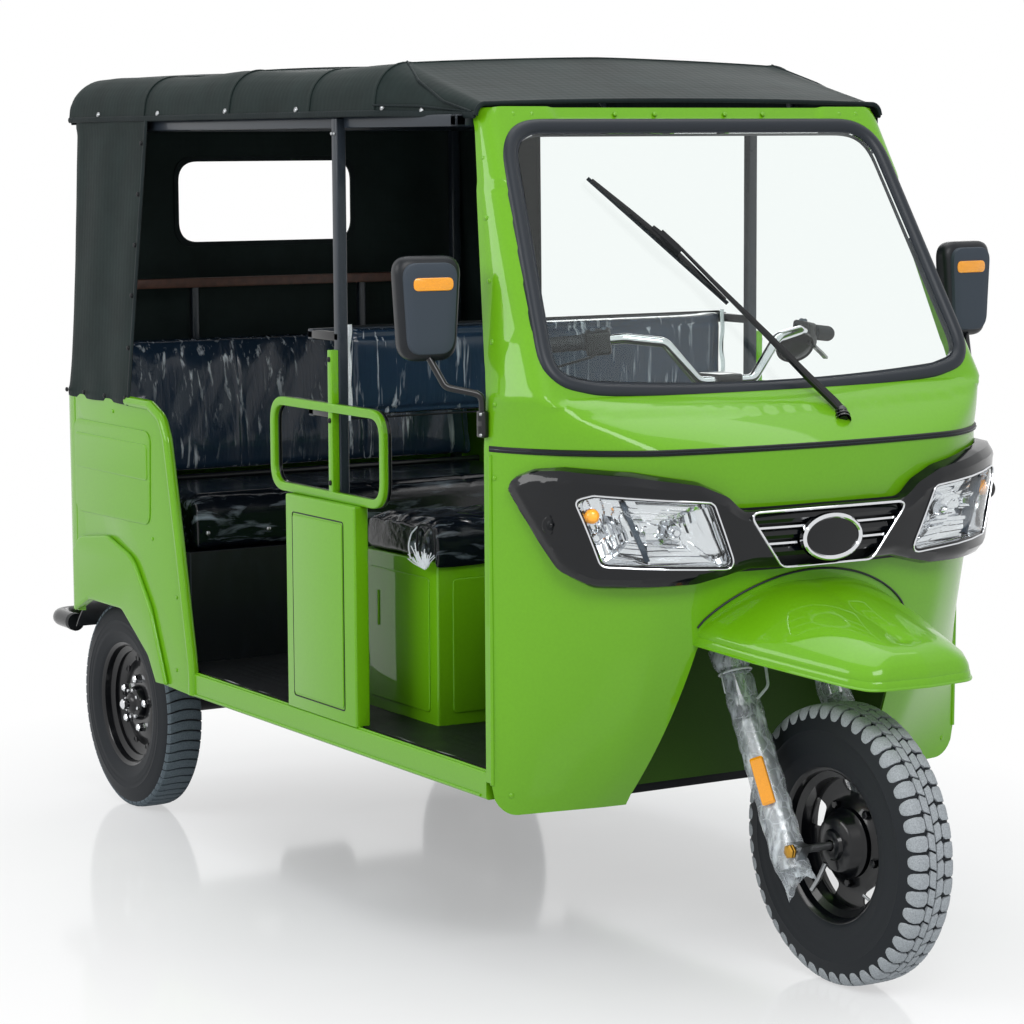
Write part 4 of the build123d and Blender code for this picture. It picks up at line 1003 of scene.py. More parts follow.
ellipse = [(cos(a), sin(a)) for a in around(64)]
badge_y = on_shield(0, 905, PROUD).y
profile = [(76, 4), (75, -6), (72, -9), (68, -9), (65, -6), (64.5, 4)]
ring = [[(c * r, badge_y + y, 905 + s * (r - 27)) for r, y in profile] for c, s in ellipse]
mount(solid("badge_ring", ring, chrome_plate, ring=True))
disc = [[(c * 65 * k, badge_y - 4 - 3 * (1 - k * k), 905 + s * 38 * k) for c, s in ellipse]
        for k in (1, 0.97, 0.8, 0.5, 0.02)]
mount(solid("badge_disc", disc, gloss_abs))
eyes = []
for side in SIDES:
    spot = on_shield(side * 557, 948, PROUD)
    out = (on_shield(side * 557, 948, PROUD + 5) - spot).normalized()
    for radius, high, finish in ((19, 3, gloss_abs), (12, 5, dark_abs), (6, 7, gloss_abs)):
        eyes.append(heads("eye", [(spot, out)], radius, high, finish, 24))
mount(joined("corner_eyes", eyes))
print("bright strips", len(lines))

# %% [markdown]
# ## Front mudguard
# The mudguard is a hollow pressing, wide at the shield and narrower at its nose. Its rim, a U seen
# from above, is joined to a line along the middle by a rounded rise, which gives the soft ridges
# at the front corners without drawing them.

# %% Mudguard
rim_path = [(-268, -1000), (-262, -1060), (-222, -1220), (-150, -1420), (-118, -1472), (0, -1484)]
half_rim = evened(flat_route(rim_path, 60, 10), 60)[0]
whole_rim = np.vstack([half_rim, half_rim[-2::-1] * (-1, 1)])
LIP = [(4, 0), (5, 2.5), (2, 5), (1.5, 9), (0.5, 16), (-1.5, 18.5), (-1, 21), (-3, 30)]
rows = []
for x, y in whole_rim:
    t = np.interp(-y, [1040, 1456], [0, 1])
    low, crease = 694 - 51 * t, 728 - 49 * t
    spine_y = max(y + 40 + 45 * t, -1400)
    crown = np.interp(-spine_y, [1040, 1456], [833, 702])
    out = np.array([x, min(y + 1180, 0) * 0.6])
    out = out / max(np.linalg.norm(out), 1)
    row = [(x + out[0] * side, y + out[1] * side, low + up) for side, up in LIP]
    for k in np.linspace(0, 1, 22)[1:]:
        hump = (1 - (1 - k) ** (2.1 + 0.6 * t)) ** 0.92
        row.append(((x - out[0] * 3) * (1 - k), (y - out[1] * 3) * (1 - k) + spine_y * k,
                crease + (crown - crease) * hump))
    rows.append(row)
guard = shape("front_mudguard", *rows_skin(rows))
change(guard, "SOLIDIFY", thickness=4 * MM, offset=-1)
behind = [[face(k, z, -2) for k in range(-45, 46)] + [Vector((400, -700, z)), Vector((-400, -700, z))]
        for z in np.linspace(560, 1000, 30)]
carve(guard, solid("cut_behind", behind))
mount(guard, "front_fender", crease=34)
joint = [on_shield(x, 728 + 105 * sqrt(max(0, 1 - (x / 262) ** 2)) ** 1.6, 2) for x in np.linspace(-262, 262, 50)]
mount(bar("mudguard_joint", joint, 2.2, epdm))
print("mudguard faces", len(guard.data.polygons))

# %% [markdown]
# ## Wiper
# A pressed arm reaches up to a sprung blade. The arm tapers, so it is a skin through six-point
# sections, and the blade is a frame with a rubber strip below it.

# %% Wiper
def flat_bar(name, line, sizes, height, finish):
    """A tapering strip over the glass; line is (u, v), sizes are (half width, half thickness)."""
    rows = []
    for i, (u, v) in enumerate(line):
        ahead_point, back_point = line[min(i + 1, len(line) - 1)], line[max(i - 1, 0)]
        along = Vector((ahead_point[0] - back_point[0], ahead_point[1] - back_point[1])).normalized()
        wide, thick = sizes[i]
        lift = height[i] if isinstance(height, list) else height
        rows.append([on_screen(u - along.y * a * wide, v + along.x * a * wide, lift + b * thick)
                     for a, b in ((-1, -1), (-1, 0.4), (-0.6, 1), (0.6, 1), (1, 0.4), (1, -1))])
    return solid(name, rows, finish)


arm = flat_bar("wiper_arm", [(108, -66), (98, -44), (66, 18), (0, 123), (-90, 248), (-150, 334), (-178, 370)],
               [(9, 5), (9, 6), (8, 6), (6, 5), (4, 3), (3, 2), (3, 2)], [64, 60, 45, 36, 32, 30, 28], black_enamel)
blade = flat_bar("wiper_blade", [(-64, 213), (-130, 290), (-186, 356), (-240, 418), (-306, 494)],
                 [(3, 2), (5, 4), (6, 5), (5, 4), (3, 2)], [19, 24, 27, 24, 19], black_enamel)
rubber = flat_bar("wiper_rubber", [(-58, 206), (-186, 355), (-312, 500)], [(2.5, 4)] * 3, 14, epdm)
clip = flat_bar("wiper_clip", [(-150, 318), (-178, 352), (-200, 377)], [(8, 7), (9, 8), (7, 6)], 27, dark_abs)
foot, knob = on_shield(98, 1130, 2), on_screen(108, -66, 60)
tilt = (knob - foot).normalized()
pivot = heads("wiper_pivot", [(foot, tilt), (foot + tilt * 9, tilt)], 16, 9, black_enamel, 24)
post = joined("wiper_knuckle", [bar("wiper_post", [foot, knob], 9, black_enamel),
                                heads("wiper_nut", [(knob - tilt * 6, tilt)], 13, 16, black_enamel, 24)])
mount(joined("windscreen_wiper", [arm, blade, rubber, clip, pivot, post]), "wiper")

# %% [markdown]
# ## Canvas roof
# The roof is one sheet of coated canvas stretched over three hoops and buttoned to the side rails,
# so it is one grid from hem to hem. Between the hoops it sinks a little, sewn seams cross it, and
# at the front corners it is folded under in a flat gusset.

# %% Roof sheet
ROOF_REAR = 1345
FRONT_Y = HEAD
ROOF_HALF = {"front": [(519, 1752), (517, 1759), (510, 1770), (494, 1775)],
        "rear": [(565, 1757), (560, 1795), (536, 1843), (466, 1866)]}
RIDGE = {"front": 1782, "rear": 1880}


def roof_half(t):
    """Half section of the roof, from hem to ridge; t is 0 at the front edge and 1 from the first hoop back."""
    pairs = [np.array(f) * (1 - t) + np.array(r) * t for f, r in zip(ROOF_HALF["front"], ROOF_HALF["rear"])]
    ridge = RIDGE["front"] * (1 - t) + RIDGE["rear"] * t
    side = [pairs[0] + (pairs[1] - pairs[0]) * k for k in np.linspace(0, 1, 5)[:-1]]
    bend = bow(pairs[1], pairs[2], pairs[3], 12)
    crown = bow(pairs[3], (0, ridge), pairs[3] * (-1, 1), 49)[:25]
    return np.vstack([side, bend[:-1], crown])


HOOPS = (-305, 480, 1200)
SEAMS = (-300, 0, 402, 877)


def rise(y):
    """0 at the roof's front edge, 1 from the first hoop back."""
    return max(0.0, min(1.0, (y - FRONT_Y) / (HOOPS[0] - FRONT_Y)))


def settled(x, y, z):
    """A point of the taut shape after the canvas has sagged, rippled and been seamed."""
    t = rise(y)
    drop = max(0.0, (y - (ROOF_REAR - 45)) / 45)
    height = (z - 1757) / 123
    between = prod(min(1.0, abs(y - hoop) / 260) for hoop in HOOPS)
    sag = 7 * between * height * t
    wave = 2.2 * sin(y / 61 + 1.3) * sin(y / 157) * exp(-((z - 1760) / 26) ** 2) * t
    puff = 1.6 * sin(y / 93 + x / 140) * height
    seam = sum(1.6 * exp(-((y - s) / 5) ** 2) for s in SEAMS)
    tail = 26 * (1 - sqrt(max(0.0, 1 - drop ** 2))) * max(0.0, height)
    return x + wave + 0.6 * seam, y, z - sag + puff * (1 - drop) + seam * height - tail


rows = []
spans = ((FRONT_Y, HOOPS[0], 34), (HOOPS[0], ROOF_REAR - 45, 150), (ROOF_REAR - 45, ROOF_REAR, 7))
for y in sorted({y for span in spans for y in np.linspace(*span)}):
    row = [settled(x, y, z) for x, z in roof_half(rise(y))]
    rows.append([(-x, y, z) for x, y, z in row[:-1]] + [(x, y, z) for x, y, z in row[::-1]])
roof = shape("canvas_roof", *rows_skin(rows), hood_canvas)
change(roof, "SOLIDIFY", thickness=2.2 * MM, offset=-1)
mount(roof, "canopy_roof", crease=60)

# %% Hems, seams, gussets and studs
def roof_point(y, k, lift=0.0, side=-1):
    """A point of the roof's surface: k runs from the hem (0) to the ridge (40)."""
    half = roof_half(rise(y))
    x, z = (float(np.interp(k, np.arange(len(half)), half[:, i])) for i in (0, 1))
    x, y, z = settled(x, y, z)
    out = (Vector((x, 0, z)) - Vector((0, 0, 1600))).normalized() * lift
    return Vector((side * (x + out.x), y, z + out.z))


def over_roof(y, first, lift):
    """A line over the roof from side to side."""
    right_half = [roof_point(y, k, lift, -1) for k in range(first, 40)]
    return right_half + [roof_point(y, k, lift, 1) for k in range(38, first - 1, -1)]


trim = []
for side in SIDES:
    hem = [roof_point(y, 0.3, 1.5, side) for y in np.linspace(FRONT_Y + 6, ROOF_REAR - 6, 80)]
    trim.append(sweep("hem", hem, circle(3.6, 8, 2.0), hood_binding, up=(0, 0, 1)))
for y in SEAMS:
    arch = over_roof(y, 1, 0.8)
    seam = [(-5, -2.4), (-5, 0.6), (0, 1.6), (5, 0.6), (5, -2.4)]
    trim.append(sweep("seam", arch, seam, hood_canvas, up=[(p.x, 0, 300) for p in arch]))
trim.append(bar("front_lip", over_roof(FRONT_Y + 4, 0, 1), 5, hood_binding, sides=10))
GUSSET = ((3, ((-300, 14, 2), (-420, 10, 3), (-540, 6, 3), (-640, 3, 2.5))),
          (2.4, ((-300, 2, 3), (-460, 3, 3), (-640, 3, 2))))
for side in SIDES:
    for radius, fold in GUSSET:
        trim.append(bar("gusset", [roof_point(*spot, side) for spot in fold], radius, hood_binding, bend=40, sides=8))
GABLE_Y, GABLE_FOOT = ROOF_REAR - 8, 1748
gable = []
for k in range(1, 40):
    top = roof_point(GABLE_Y, k, -3, -1)
    gable.append([Vector((top.x, GABLE_Y + 5 * sin(pi * s) + 1.5 * sin(top.x / 40) * s,
                          GABLE_FOOT + (top.z - 1 - GABLE_FOOT) * s)) for s in np.linspace(0, 1, 9)])
end = shape("roof_gable", *rows_skin(gable + mirrored(gable[-2::-1])), hood_canvas)
change(end, "SOLIDIFY", thickness=2.2 * MM, offset=0)
trim.append(end)
mount(joined("roof_trim", trim))
studs = [(roof_point(y, 1.6, 1, side), (side, 0, 0.25)) for side in SIDES for y in (-470, -330, 60, 420, 800, 1150)]
mount(heads("roof_studs", studs, 7, 4, zinc_steel, 14))
print("roof rows", len(rows), "points a row", len(rows[0]))

# %% [markdown]
# ## Rear curtain
# The curtain hangs from the roof round the back and both corners, buttoned down over the body.
# Slack cloth shows as soft upright folds, so each point is pushed in and out by slow waves that
# die away where studs hold it. The window is cut last.

# %% Curtain sheet
CURTAIN_LOW, CURTAIN_TOP = 1052, 1762


def curtain_line(z):
    """Right front edge, round the back, to the left front edge, as even points at a height."""
    t = (z - CURTAIN_LOW) / (CURTAIN_TOP - CURTAIN_LOW)
    half = 604 - 39 * t
    front = 918 - 57 * t
    corner = flat_route([(-half, front), (-half, ROOF_REAR - 2), (0, ROOF_REAR - 2)], 75, 12)
    line, length = evened(corner, 91)
    return np.vstack([line, line[-2::-1] * (-1, 1)]), length


rows = []
for z in np.linspace(CURTAIN_LOW, CURTAIN_TOP, 90):
    line, length = curtain_line(z)
    along = np.gradient(line, axis=0)
    along /= np.linalg.norm(along, axis=1)[:, None]
    t = (z - CURTAIN_LOW) / (CURTAIN_TOP - CURTAIN_LOW)
    row = []
    for i, (x, y) in enumerate(line):
        s = i / (len(line) - 1) * 2 * length
        side_part = min(s, 2 * length - s)
        slack = sin(pi * min(1, t)) ** 0.6
        fold = 3.2 * sin(side_part / 38 + 1.5 * t) * slack + 2.4 * sin(side_part / 83 - 2 * t + 1) * slack
        gather = 3.0 * sin(side_part / 27) * exp(-(t / 0.09) ** 2)
        quiet = 0.35 if side_part > 520 else 1.0
        push = (fold * 0.8 + gather - 4) * quiet + 4 * exp(-((t - 0.975) / 0.02) ** 2)
        push += 3.0 * exp(-((t - 0.02) / 0.012) ** 2)
        ax, ay = along[i]
        row.append((x - ay * push, y + ax * push, z + 1.2 * sin(side_part / 60) * max(0, 0.1 - t) * 10))
    rows.append(row)
curtain = shape("canvas_curtain", *rows_skin(rows), hood_canvas)
change(curtain, "SOLIDIFY", thickness=2.2 * MM, offset=0)
window = slab(-260, 1437, 260, 1653, 55, 10)
carve(curtain, plate("cut_window", "Y", (1200, 1500), window, hood_canvas, edge=0))
mount(curtain, "rear_curtain", crease=60)

# %% Window hem, edge bindings and studs
hem = [[(x * (1 + a / 260), ROOF_REAR - 3 + d, 1545 + (z - 1545) * (1 + a / 108))
        for a, d in ((-2, 3), (-2, -3), (11, -3), (12, 0), (11, 3.5), (2, 4.5))]
       for x, z in window]
trim = [solid("window_hem", hem, hood_binding, ring=True)]
for side in SIDES:
    edge = [(-side * x, y, z) for z in np.linspace(CURTAIN_LOW, CURTAIN_TOP, 30) for x, y in curtain_line(z)[0][:1]]
    trim.append(sweep("edge_binding", edge, circle(3.4, 8, 2.4), hood_binding, up=(0, 1, 0)))
mount(joined("curtain_trim", trim))
drop = [CURTAIN_LOW, CURTAIN_TOP]
studs = [((side * np.interp(z, drop, [607, 568]), np.interp(z, drop, [932, 875]), z), (side, 0, 0))
         for side in SIDES for z in (1070, 1195, 1325, 1450, 1575, 1700)]
studs += [((side * 609, y, 1068), (side, 0, 0)) for side in SIDES for y in (1050, 1180, 1290)]
studs += [((x, ROOF_REAR + 4, 1070), (0, 1, 0)) for x in (-480, -300, -100, 100, 300, 480)]
mount(heads("curtain_studs", studs, 6, 4, dark_abs, 14))
print("curtain faces", len(curtain.data.polygons))

# %% [markdown]
# ## Rear body sides
# Each rear side is a steel pressing: a rolled edge up the doorway, two shallow panels in its
# flank, and a flare over the wheel. Pressed shapes are thin plates with wide soft rims laid on the
# skin, so their shadows fall as a real step's would.

# %% Side pressings
OUTLINE = [(575, 367), (768, 372), (813, 437), (971, 535), (1179, 534), (1273, 492), (1273, 1062), (794, 1062),
        (726, 1032), (699, 983),
           (637, 720), (575, 433)]
ARCH = [(768, 374), (813, 437), (971, 535), (1179, 534), (1271, 494)]
FLARE = [(1271, 655), (1235, 690), (1056, 712), (900, 672), (800, 560), (712, 376)]
for side, word in WORD.items():
    skin_line = rounded(OUTLINE, [0, 10, 60, 60, 40, 6, 4, 40, 60, 60, 200, 200])
    panel = plate(f"rear_side_panel_{word}", "X", pair(side, 585, 600), skin_line, edge=6, steps=4)
    mount(panel, "rear_side_panels" if side < 0 else ())
    line = rounded(ARCH[1:] + FLARE + [ARCH[0]], [60, 60, 40, 0, 30, 80, 120, 120, 120, 0, 10])
    flare = plate(f"wheel_flare_{word}", "X", pair(side, 599, 612), line, edge=12, steps=6)
    mount(flare, crease=60)
    lip_line = [Vector((side * 606, y, z + 3)) for y, z in rounded(ARCH, [0, 60, 60, 40, 0])]
    mount(bar(f"arch_lip_{word}", lip_line, 5))
    pressings = []
    for corners, radii, out in (([(795, 995), (1262, 997), (1262, 756), (806, 762)], 34, 3.0),
                                (oblong(812, 962, 1255, 872), 14, 5.5)):
        pressings.append(plate("pressing", "X", pair(side, 599.5, 600 + out), rounded(corners, radii), edge=2.9,
                steps=4))
    rolled = [Vector((side * 597, y + 4, z)) for y, z in rounded([(575, 372), (575, 433), (637, 720), (699, 983),
            (726, 1032), (794, 1060), (930, 1062)],
                                                                 [0, 300, 300, 60, 60, 40, 0])]
    pressings.append(bar("door_roll", rolled, 13))
    mount(joined(f"rear_pressings_{word}", pressings), crease=60)
rivets = [((side * 600.5, y, z), (side, 0, 0)) for side in SIDES
        for y, z in ((1020, 1030), (795, 730), (668, 420), (660, 600))]
mount(heads("side_rivets", rivets, 5, 2.5))

# %% Tail panel
tail_plan = [(-600.9, 1263), (-600.6, 1285), (-597, 1305), (-588, 1322), (-574, 1334), (-556, 1340), (-540, 1341)]
tail_plan = tail_plan + [(x, 1341) for x in np.linspace(-500, 500, 21)] + [(-x, y) for x, y in tail_plan[::-1]]
inner = [(x * 0.976, y - 13) for x, y in tail_plan]
tail = solid("tail_panel", [[(x, y, z) for x, y in tail_plan + inner[::-1]] for z in np.linspace(492, 1062, 20)])
for x in (-100, 100):
    bolt_hole = bar("cut_bolt", [(x, 1300, 640), (x, 1400, 640)], 3.3)
    carve(tail, bolt_hole)
mount(tail, "rear_panel")
pressings = []
for corners, radii in ((oblong(-505, 1000, 505, 935), 20), (oblong(-370, 900, 370, 760), 24),
                       (oblong(-170, 705, 170, 575), 16)):
    pressings.append(plate("tail_pressing", "Y", (1340, 1345), rounded(corners, radii), edge=4.5, steps=4))
pressings.append(bar("tail_foot", [(-585, 1318, 492), (-560, 1338, 492), (560, 1338, 492), (585, 1318, 492)], 8,
        bend=20))
mount(joined("tail_pressings", pressings), crease=60)
blank = [plate("number_plate_blank", "Y", (1345.5, 1348), slab(-145, 590, 145, 690, 10), zinc_steel, edge=0.8),
         heads("plate_bolts", [((x, 1348, 640), (0, 1, 0)) for x in (-100, 100)], 7, 4, zinc_steel)]
mount(joined("number_plate", blank))
TAIL_LAMP = ((424, 754, 516, 906, 20, (1341, 1352), dark_abs, 3, 3),
        (430, 806, 510, 900, 16, (1350, 1367), red_acrylic, 6, 4),
             (430, 760, 510, 802, 14, (1350, 1366), amber_acrylic, 5, 4))
for side, word in WORD.items():
    lamps = [plate("lamp", "Y", span, slab(side * a, low, side * b, high, radius), *look)
             for a, low, b, high, radius, span, *look in TAIL_LAMP]
    mount(joined(f"tail_lamp_{word}", lamps), "tail_lamps" if side < 0 else ())
print("rear panels done")

# %% [markdown]
# ## Centre panels, grab loops and posts
# The post between the doorways stands on a green boxed panel and carries a grab loop of flat
# bar. The bar's outer face was sprayed green after the black undercoat.

# %% Centre side
for side, word in WORD.items():
    outer = oblong(-257, 425, 71, 913)
    panel = plate(f"centre_panel_{word}", "X", pair(side, 564, 600), outer, edge=5, steps=4)
    groove = oblong(-206, 456, 36, 874)
    line = [Vector((side * 600, y, z)) for y, z in rounded(groove, 8)]
    field = plate("panel_field", "X", pair(side, 599, 602.2), rounded([(y * 0.97 - 2, 665 + (z - 665) * 0.975)
            for y, z in groove], 8), edge=2.2)
    dark = sweep("panel_groove", line, circle(1.5, 6), dark_abs, closed=True)
    mount(joined(f"centre_panel_set_{word}", [panel, field, dark]),
            "centre_side_panels" if side < 0 else ())
    ring_out = slab(-362, 913, 175, 1128, 62, 10)
    ring_in = slab(-342, 933, 155, 1108, 42, 10)
    loop = frame_plate("loop", "X", pair(side, 570, 584), ring_out, ring_in, edge=3.5)
    back = frame_plate("loop_back", "X", pair(side, 562, 571), ring_out, ring_in, black_enamel, edge=2)
    stub = block("stub", pair(side, 564, 582), (-127, -107), (913, 1246))
    bolts = heads("loop_bolts", [((side * 583, -117, z), (side, 0, 0)) for z in (1225, 1090, 952)], 6, 4, dark_abs)
    mount(joined(f"grab_loop_{word}", [loop, back, stub, bolts]), "grab_loops" if side < 0 else ())

# %% Tube frame
def tube_box(*spans):
    """A square tube with soft corners."""
    return block("tube", *spans, tube_enamel, 3.5, 3)


tubes = []
for side in SIDES:
    post = pair(side, 540, 564)
    tubes += [tube_box(post, (-129, -105), (425, 1752)), tube_box(pair(side, 520, 545), (-616, 1283), (1730, 1755)),
              *(tube_box(pair(side, 533, far), (1258, 1283), (600, top)) for far, top in ((558, 1755), (585, 640))),
              *(block("stub", (post[0], post[1] - 3), (-126, 20), (z + 2, z + 22), black_enamel, 3.5, 3)
                      for z in (1090, 1262)),
              tube_box((side * 250 - 10, side * 250 + 10), (1262, 1282), (1062, 1330))]
tubes += [*(tube_box((-545, 545), (y, y + 25), (1730, 1755)) for y in (-616, 1258)),
          *(tube_box((-564, 564), (-5, 20), (z, z + 24)) for z in (1090, 1262))]
for y in HOOPS:
    hoop = [(-532.5, y, 1745), (-532.5, y, 1792), (-454.5, y, 1848), (454.5, y, 1848), (532.5, y, 1792),
            (532.5, y, 1745)]
    tubes.append(bar("hoop", hoop, 10, tube_enamel, bend=40))
mount(joined("tube_frame", tubes), "cab_frame")
rail = skin("red_oxide", "#4A2A1E", 20.0, 0.05, shift=0.25, rough=0.5)
mount(block("luggage_rail", (-540, 540), (1258, 1283), (1322, 1347), rail, 3))
roof_studs = [((side * 566, -117 + d, 1718), (side, 0, 0)) for side in SIDES for d in (-6, 6)]
mount(heads("post_screws", roof_studs, 4, 3, zinc_steel))
print("tubes joined")

# %% [markdown]
# ## Seats
# The pads are foam in black vinyl, still under creased packing film. Drawn with curves a pad looks
# like a block, so each starts slightly small, is cut into even quads and is blown up as cloth for
# twenty frames. Sewn channels are pressed in afterwards and piping is added.

# %% Swelling a pad
PRESSURE = 4.0


def swell(pad, voxel, cap):
    """Remeshes a pad, blows it up as cloth and lets no point move further than cap millimetres."""
    change(pad, "REMESH", mode="VOXEL", voxel_size=voxel * MM)
    count = len(pad.data.vertices)
    start = np.empty(count * 3)
    pad.data.vertices.foreach_get("co", start)
    cloth = pad.modifiers.new("swell", "CLOTH")
    cloth.settings.use_pressure = True
    cloth.settings.uniform_pressure_force = PRESSURE
    cloth.settings.effector_weights.gravity = 0
    for number in range(1, 21):
        scene.frame_set(number)
    bake(pad)
    scene.frame_set(1)
    end = np.empty(count * 3)
    pad.data.vertices.foreach_get("co", end)
    move = (end - start).reshape(-1, 3)
    far = np.linalg.norm(move, axis=1)[:, None]
    move *= np.minimum(1, cap * MM / np.maximum(far, 1e-9))
    pad.data.vertices.foreach_set("co", (start.reshape(-1, 3) + move).ravel())
    change(pad, "SUBSURF", levels=1)
    fine = np.empty(len(pad.data.vertices) * 3)
    pad.data.vertices.foreach_get("co", fine)
    return fine.reshape(-1, 3), float(far.max() / MM)


def settle(pad, points, low, high, presses=()):
    """Presses sewn channels in, keeps the pad inside its place and writes the points back."""
    for press in presses:
        points = press(points)
    points = np.clip(points, np.array(low) * MM, np.array(high) * MM)
    pad.data.vertices.foreach_set("co", points.ravel())
    pad.data.update()
    change(pad, "SMOOTH", iterations=2, factor=0.4)


def channel(axis, place, width, depth, press_axis, sign, gate=None):
    """A sewn line: points near place along an axis move by depth along another axis."""
    def press(points):
        near = np.exp(-((points[:, axis] / MM - place) / width) ** 2)
        side = points[:, press_axis] / MM
        faces_out = np.clip((side - gate) * sign / 6 + 1, 0, 1) if gate is not None else 1.0
        points = points.copy()
        points[:, press_axis] -= sign * depth * MM * near * faces_out
        return points
    return press


def make_pad(node, outline, radii, half, finish, edge, voxel, cap, low, high, presses):
    """A pad with this side outline across the cab, blown up, sewn and put in its node's place."""
    pad = plate(node + "_pad", "X", (-half, half), rounded(outline, radii, 6), finish, edge, 4)
    points, moved = swell(pad, voxel, cap)
    settle(pad, points, low, high, presses)
    mount(pad, node, crease=75)
    print(node, "swelled", round(moved, 1), "mm")


# %% Driver's cushion
profile = [(-376, 772), (-376, 864), (-30, 862), (-30, 792), (-358, 792), (-358, 772)]


def lift_to(points, heights):
    """The same points at other heights."""
    return np.column_stack([points[:, :2], heights])


def tuck(points):
    """Keeps the pad's underside on the seat box, behind its front valance."""
    return lift_to(points, np.where(points[:, 1] > -356.5 * MM, np.maximum(points[:, 2], 789.4 * MM), points[:, 2]))


def ripple(points):
    """Shallow waves on top."""
    x, y, z = points.T
    return lift_to(points, z + np.where(z > 0.85, 1.6 * MM * np.sin(x * 90 + 6 * np.sin(y * 20)), 0))


make_pad("driver_cushion", profile, [8, 36, 18, 8, 2, 8], 462, seat_film, 16, 10.0, 14, (-472, -386, 768),
        (472, -18, 880),
         [tuck, channel(1, -298, 6, 9, 2, 1, 850), ripple])
white_film = skin("white_film", "#D9DEE2", 4.0, 0.3, shift=0.1, rough=0.25, coat=0.6)
welts = []
for side in SIDES:
    rim_line = rounded([(-380, 796), (-380, 872), (-300, 874), (-300, 796)], [34, 38, 30, 8])
    welts.append(bar("welt", [(side * 468, y, z) for y, z in rim_line], 2.6, dark_abs, closed=True))
    hoop = [(side * 470, -306, 866), (side * 473, -284, 850), (side * 474, -272, 822), (side * 473, -280, 792)]
    welts.append(bar("film_tie", hoop, 1.8, white_film, bend=30))
mount(joined("cushion_welts", welts))

# %% Packing film gathered at the cushion's corner
fan = []
for side in SIDES:
    hub = Vector((side * 473, -352, 776))
    for k in range(34):
        a = radians(14 + 3.4 * k + random.uniform(-5, 5))
        start_reach, reach = random.uniform(4, 16), random.uniform(30, 66) * (1.35 if k < 12 else 0.9)
        line = [hub + Vector((side * d, cos(a + turn) * r, sin(a + turn) * r * 0.8))
                for r, d, turn in ((start_reach, 2, 0), (reach * 0.6, 4, random.uniform(-0.1, 0.1)),
                        (reach, 1, random.uniform(-0.2, 0.2)))]
        fan.append(sweep("film_pleat", route(line, 20, 4), [(-1.3, -0.4), (0, 1.5), (1.3, -0.4)], white_film,
                up=(side, 0, 0)))
mount(joined("cushion_film_pleats", fan))

# %% Driver's backrest
profile = [(-55, 1082), (-59, 1292), (-12, 1292), (-10, 1082)]
make_pad("driver_backrest", profile, [12, 16, 10, 10], 516, back_film_painted_sheen, 12, 9.0, 8, (-524, -66, 1074), (524, -5.4, 1302),
         [channel(2, 1268, 5, 5, 1, -1, -55), channel(2, 1102, 5, 5, 1, -1, -50),
          *(channel(0, x, 5, 4, 1, -1, -55) for x in (-490, 490))])
edge = [bar("back_welt", [Vector((x, -60, z)) for x, z in slab(-512, 1086, 512, 1292, 16)], 2.4, dark_abs, closed=True)]
for side in SIDES:
    strap = [(side * (515 + 2 * sin(z / 13)), -58 + 2 * sin(z / 21), z) for z in np.linspace(1296, 1082, 36)]
    edge.append(sweep("film_edge", [Vector(p) for p in strap],
            [(-17, -4), (-11, 1), (-6, -1), (0, 2), (6, 0), (11, 2.5), (17, -4)], white_film, up=(side * 0.7, -0.7, 0)))
mount(joined("backrest_welts", edge))

# %% Bench cushion
profile = [(700, 706), (700, 824), (1126, 826), (1126, 706)]
make_pad("bench_cushion", profile, [14, 36, 24, 8], 537, seat_film, 18, 11.0, 15, (-547, 686, 701.4), (547, 1129, 838),
         [channel(1, 760, 7, 8, 2, 1, 815), channel(2, 770, 4, 5, 1, -1, 700),
          *(channel(0, x, 5, 3.5, 2, 1, 818) for x in (-270, 0, 270))])
snaps = heads("bench_snaps", [((x, 687.5, 748), (0, -1, 0)) for x in np.linspace(-500, 500, 7)], 6, 4, zinc_steel, 14)
board = plate("bench_board", "Y", (690, 697.5), slab(-583, 428, 583, 704, 5), vinyl, edge=2)
piping = [bar("board_piping", [(x, 689.5, 431), (x, 689.5, 702)], 1.8, tube_enamel) for x in (-548, 0, 548)]
mount(joined("bench_front", [snaps, board, *piping]))

# %% Bench backrest
profile = [(1136, 837), (1188, 1206), (1250, 1206), (1201, 837)]
lean = (1185 - 1132) / (1212 - 835)


def upright_seams(points):
    """Vertical sewn lines on the leaning front of the backrest."""
    front = points[:, 1] / MM - (1132 + lean * (points[:, 2] / MM - 835))
    near = sum(np.exp(-((points[:, 0] / MM - x) / 5) ** 2) for x in (-500, -180, 180, 500))
    out = points.copy()
    out[:, 1] += 6 * MM * near * np.clip(1 - front / 20, 0, 1)
    wave = 2.2 * MM * np.sin(points[:, 0] * 47 + 3 * np.sin(points[:, 2] * 9)) * np.clip(1 - front / 20, 0, 1)
    out[:, 1] += wave
    return out


make_pad("bench_backrest", profile, [6, 18, 10, 6], 534, back_film_painted_sheen, 14, 11.0, 14, (-540, 1120, 836),
        (540, 1257.4, 1214),
         [upright_seams])
mount(bar("bench_roll", [(-538, 1139, 835), (538, 1139, 835)], 9, vinyl))

# %% Seat box
parts = [block("box", (-447, 447), (-352, -12), (425, 789), edge=5, steps=3)]
for side in SIDES:
    parts.append(plate("box_field", "X", pair(side, 446.5, 450), slab(-318, 455, -46, 752, 12), edge=3, steps=4))
    parts.append(plate("box_vent", "X", pair(side, 449, 453), slab(-92, 700, -86, 620, 2), edge=1.4, steps=2))
parts.append(plate("box_front", "Y", (-355.5, -351.5), slab(-410, 455, 410, 752, 12), edge=3, steps=4))
mount(joined("seat_box", parts), "driver_seat_box", crease=50)

# %% [markdown]
# ## Tyres
# The carcass is turned from half a section. Tread blocks are low prisms set on it, one set of
# polygons repeated round the wheel: interlocking lugs in front, bowed ribs at the rear.

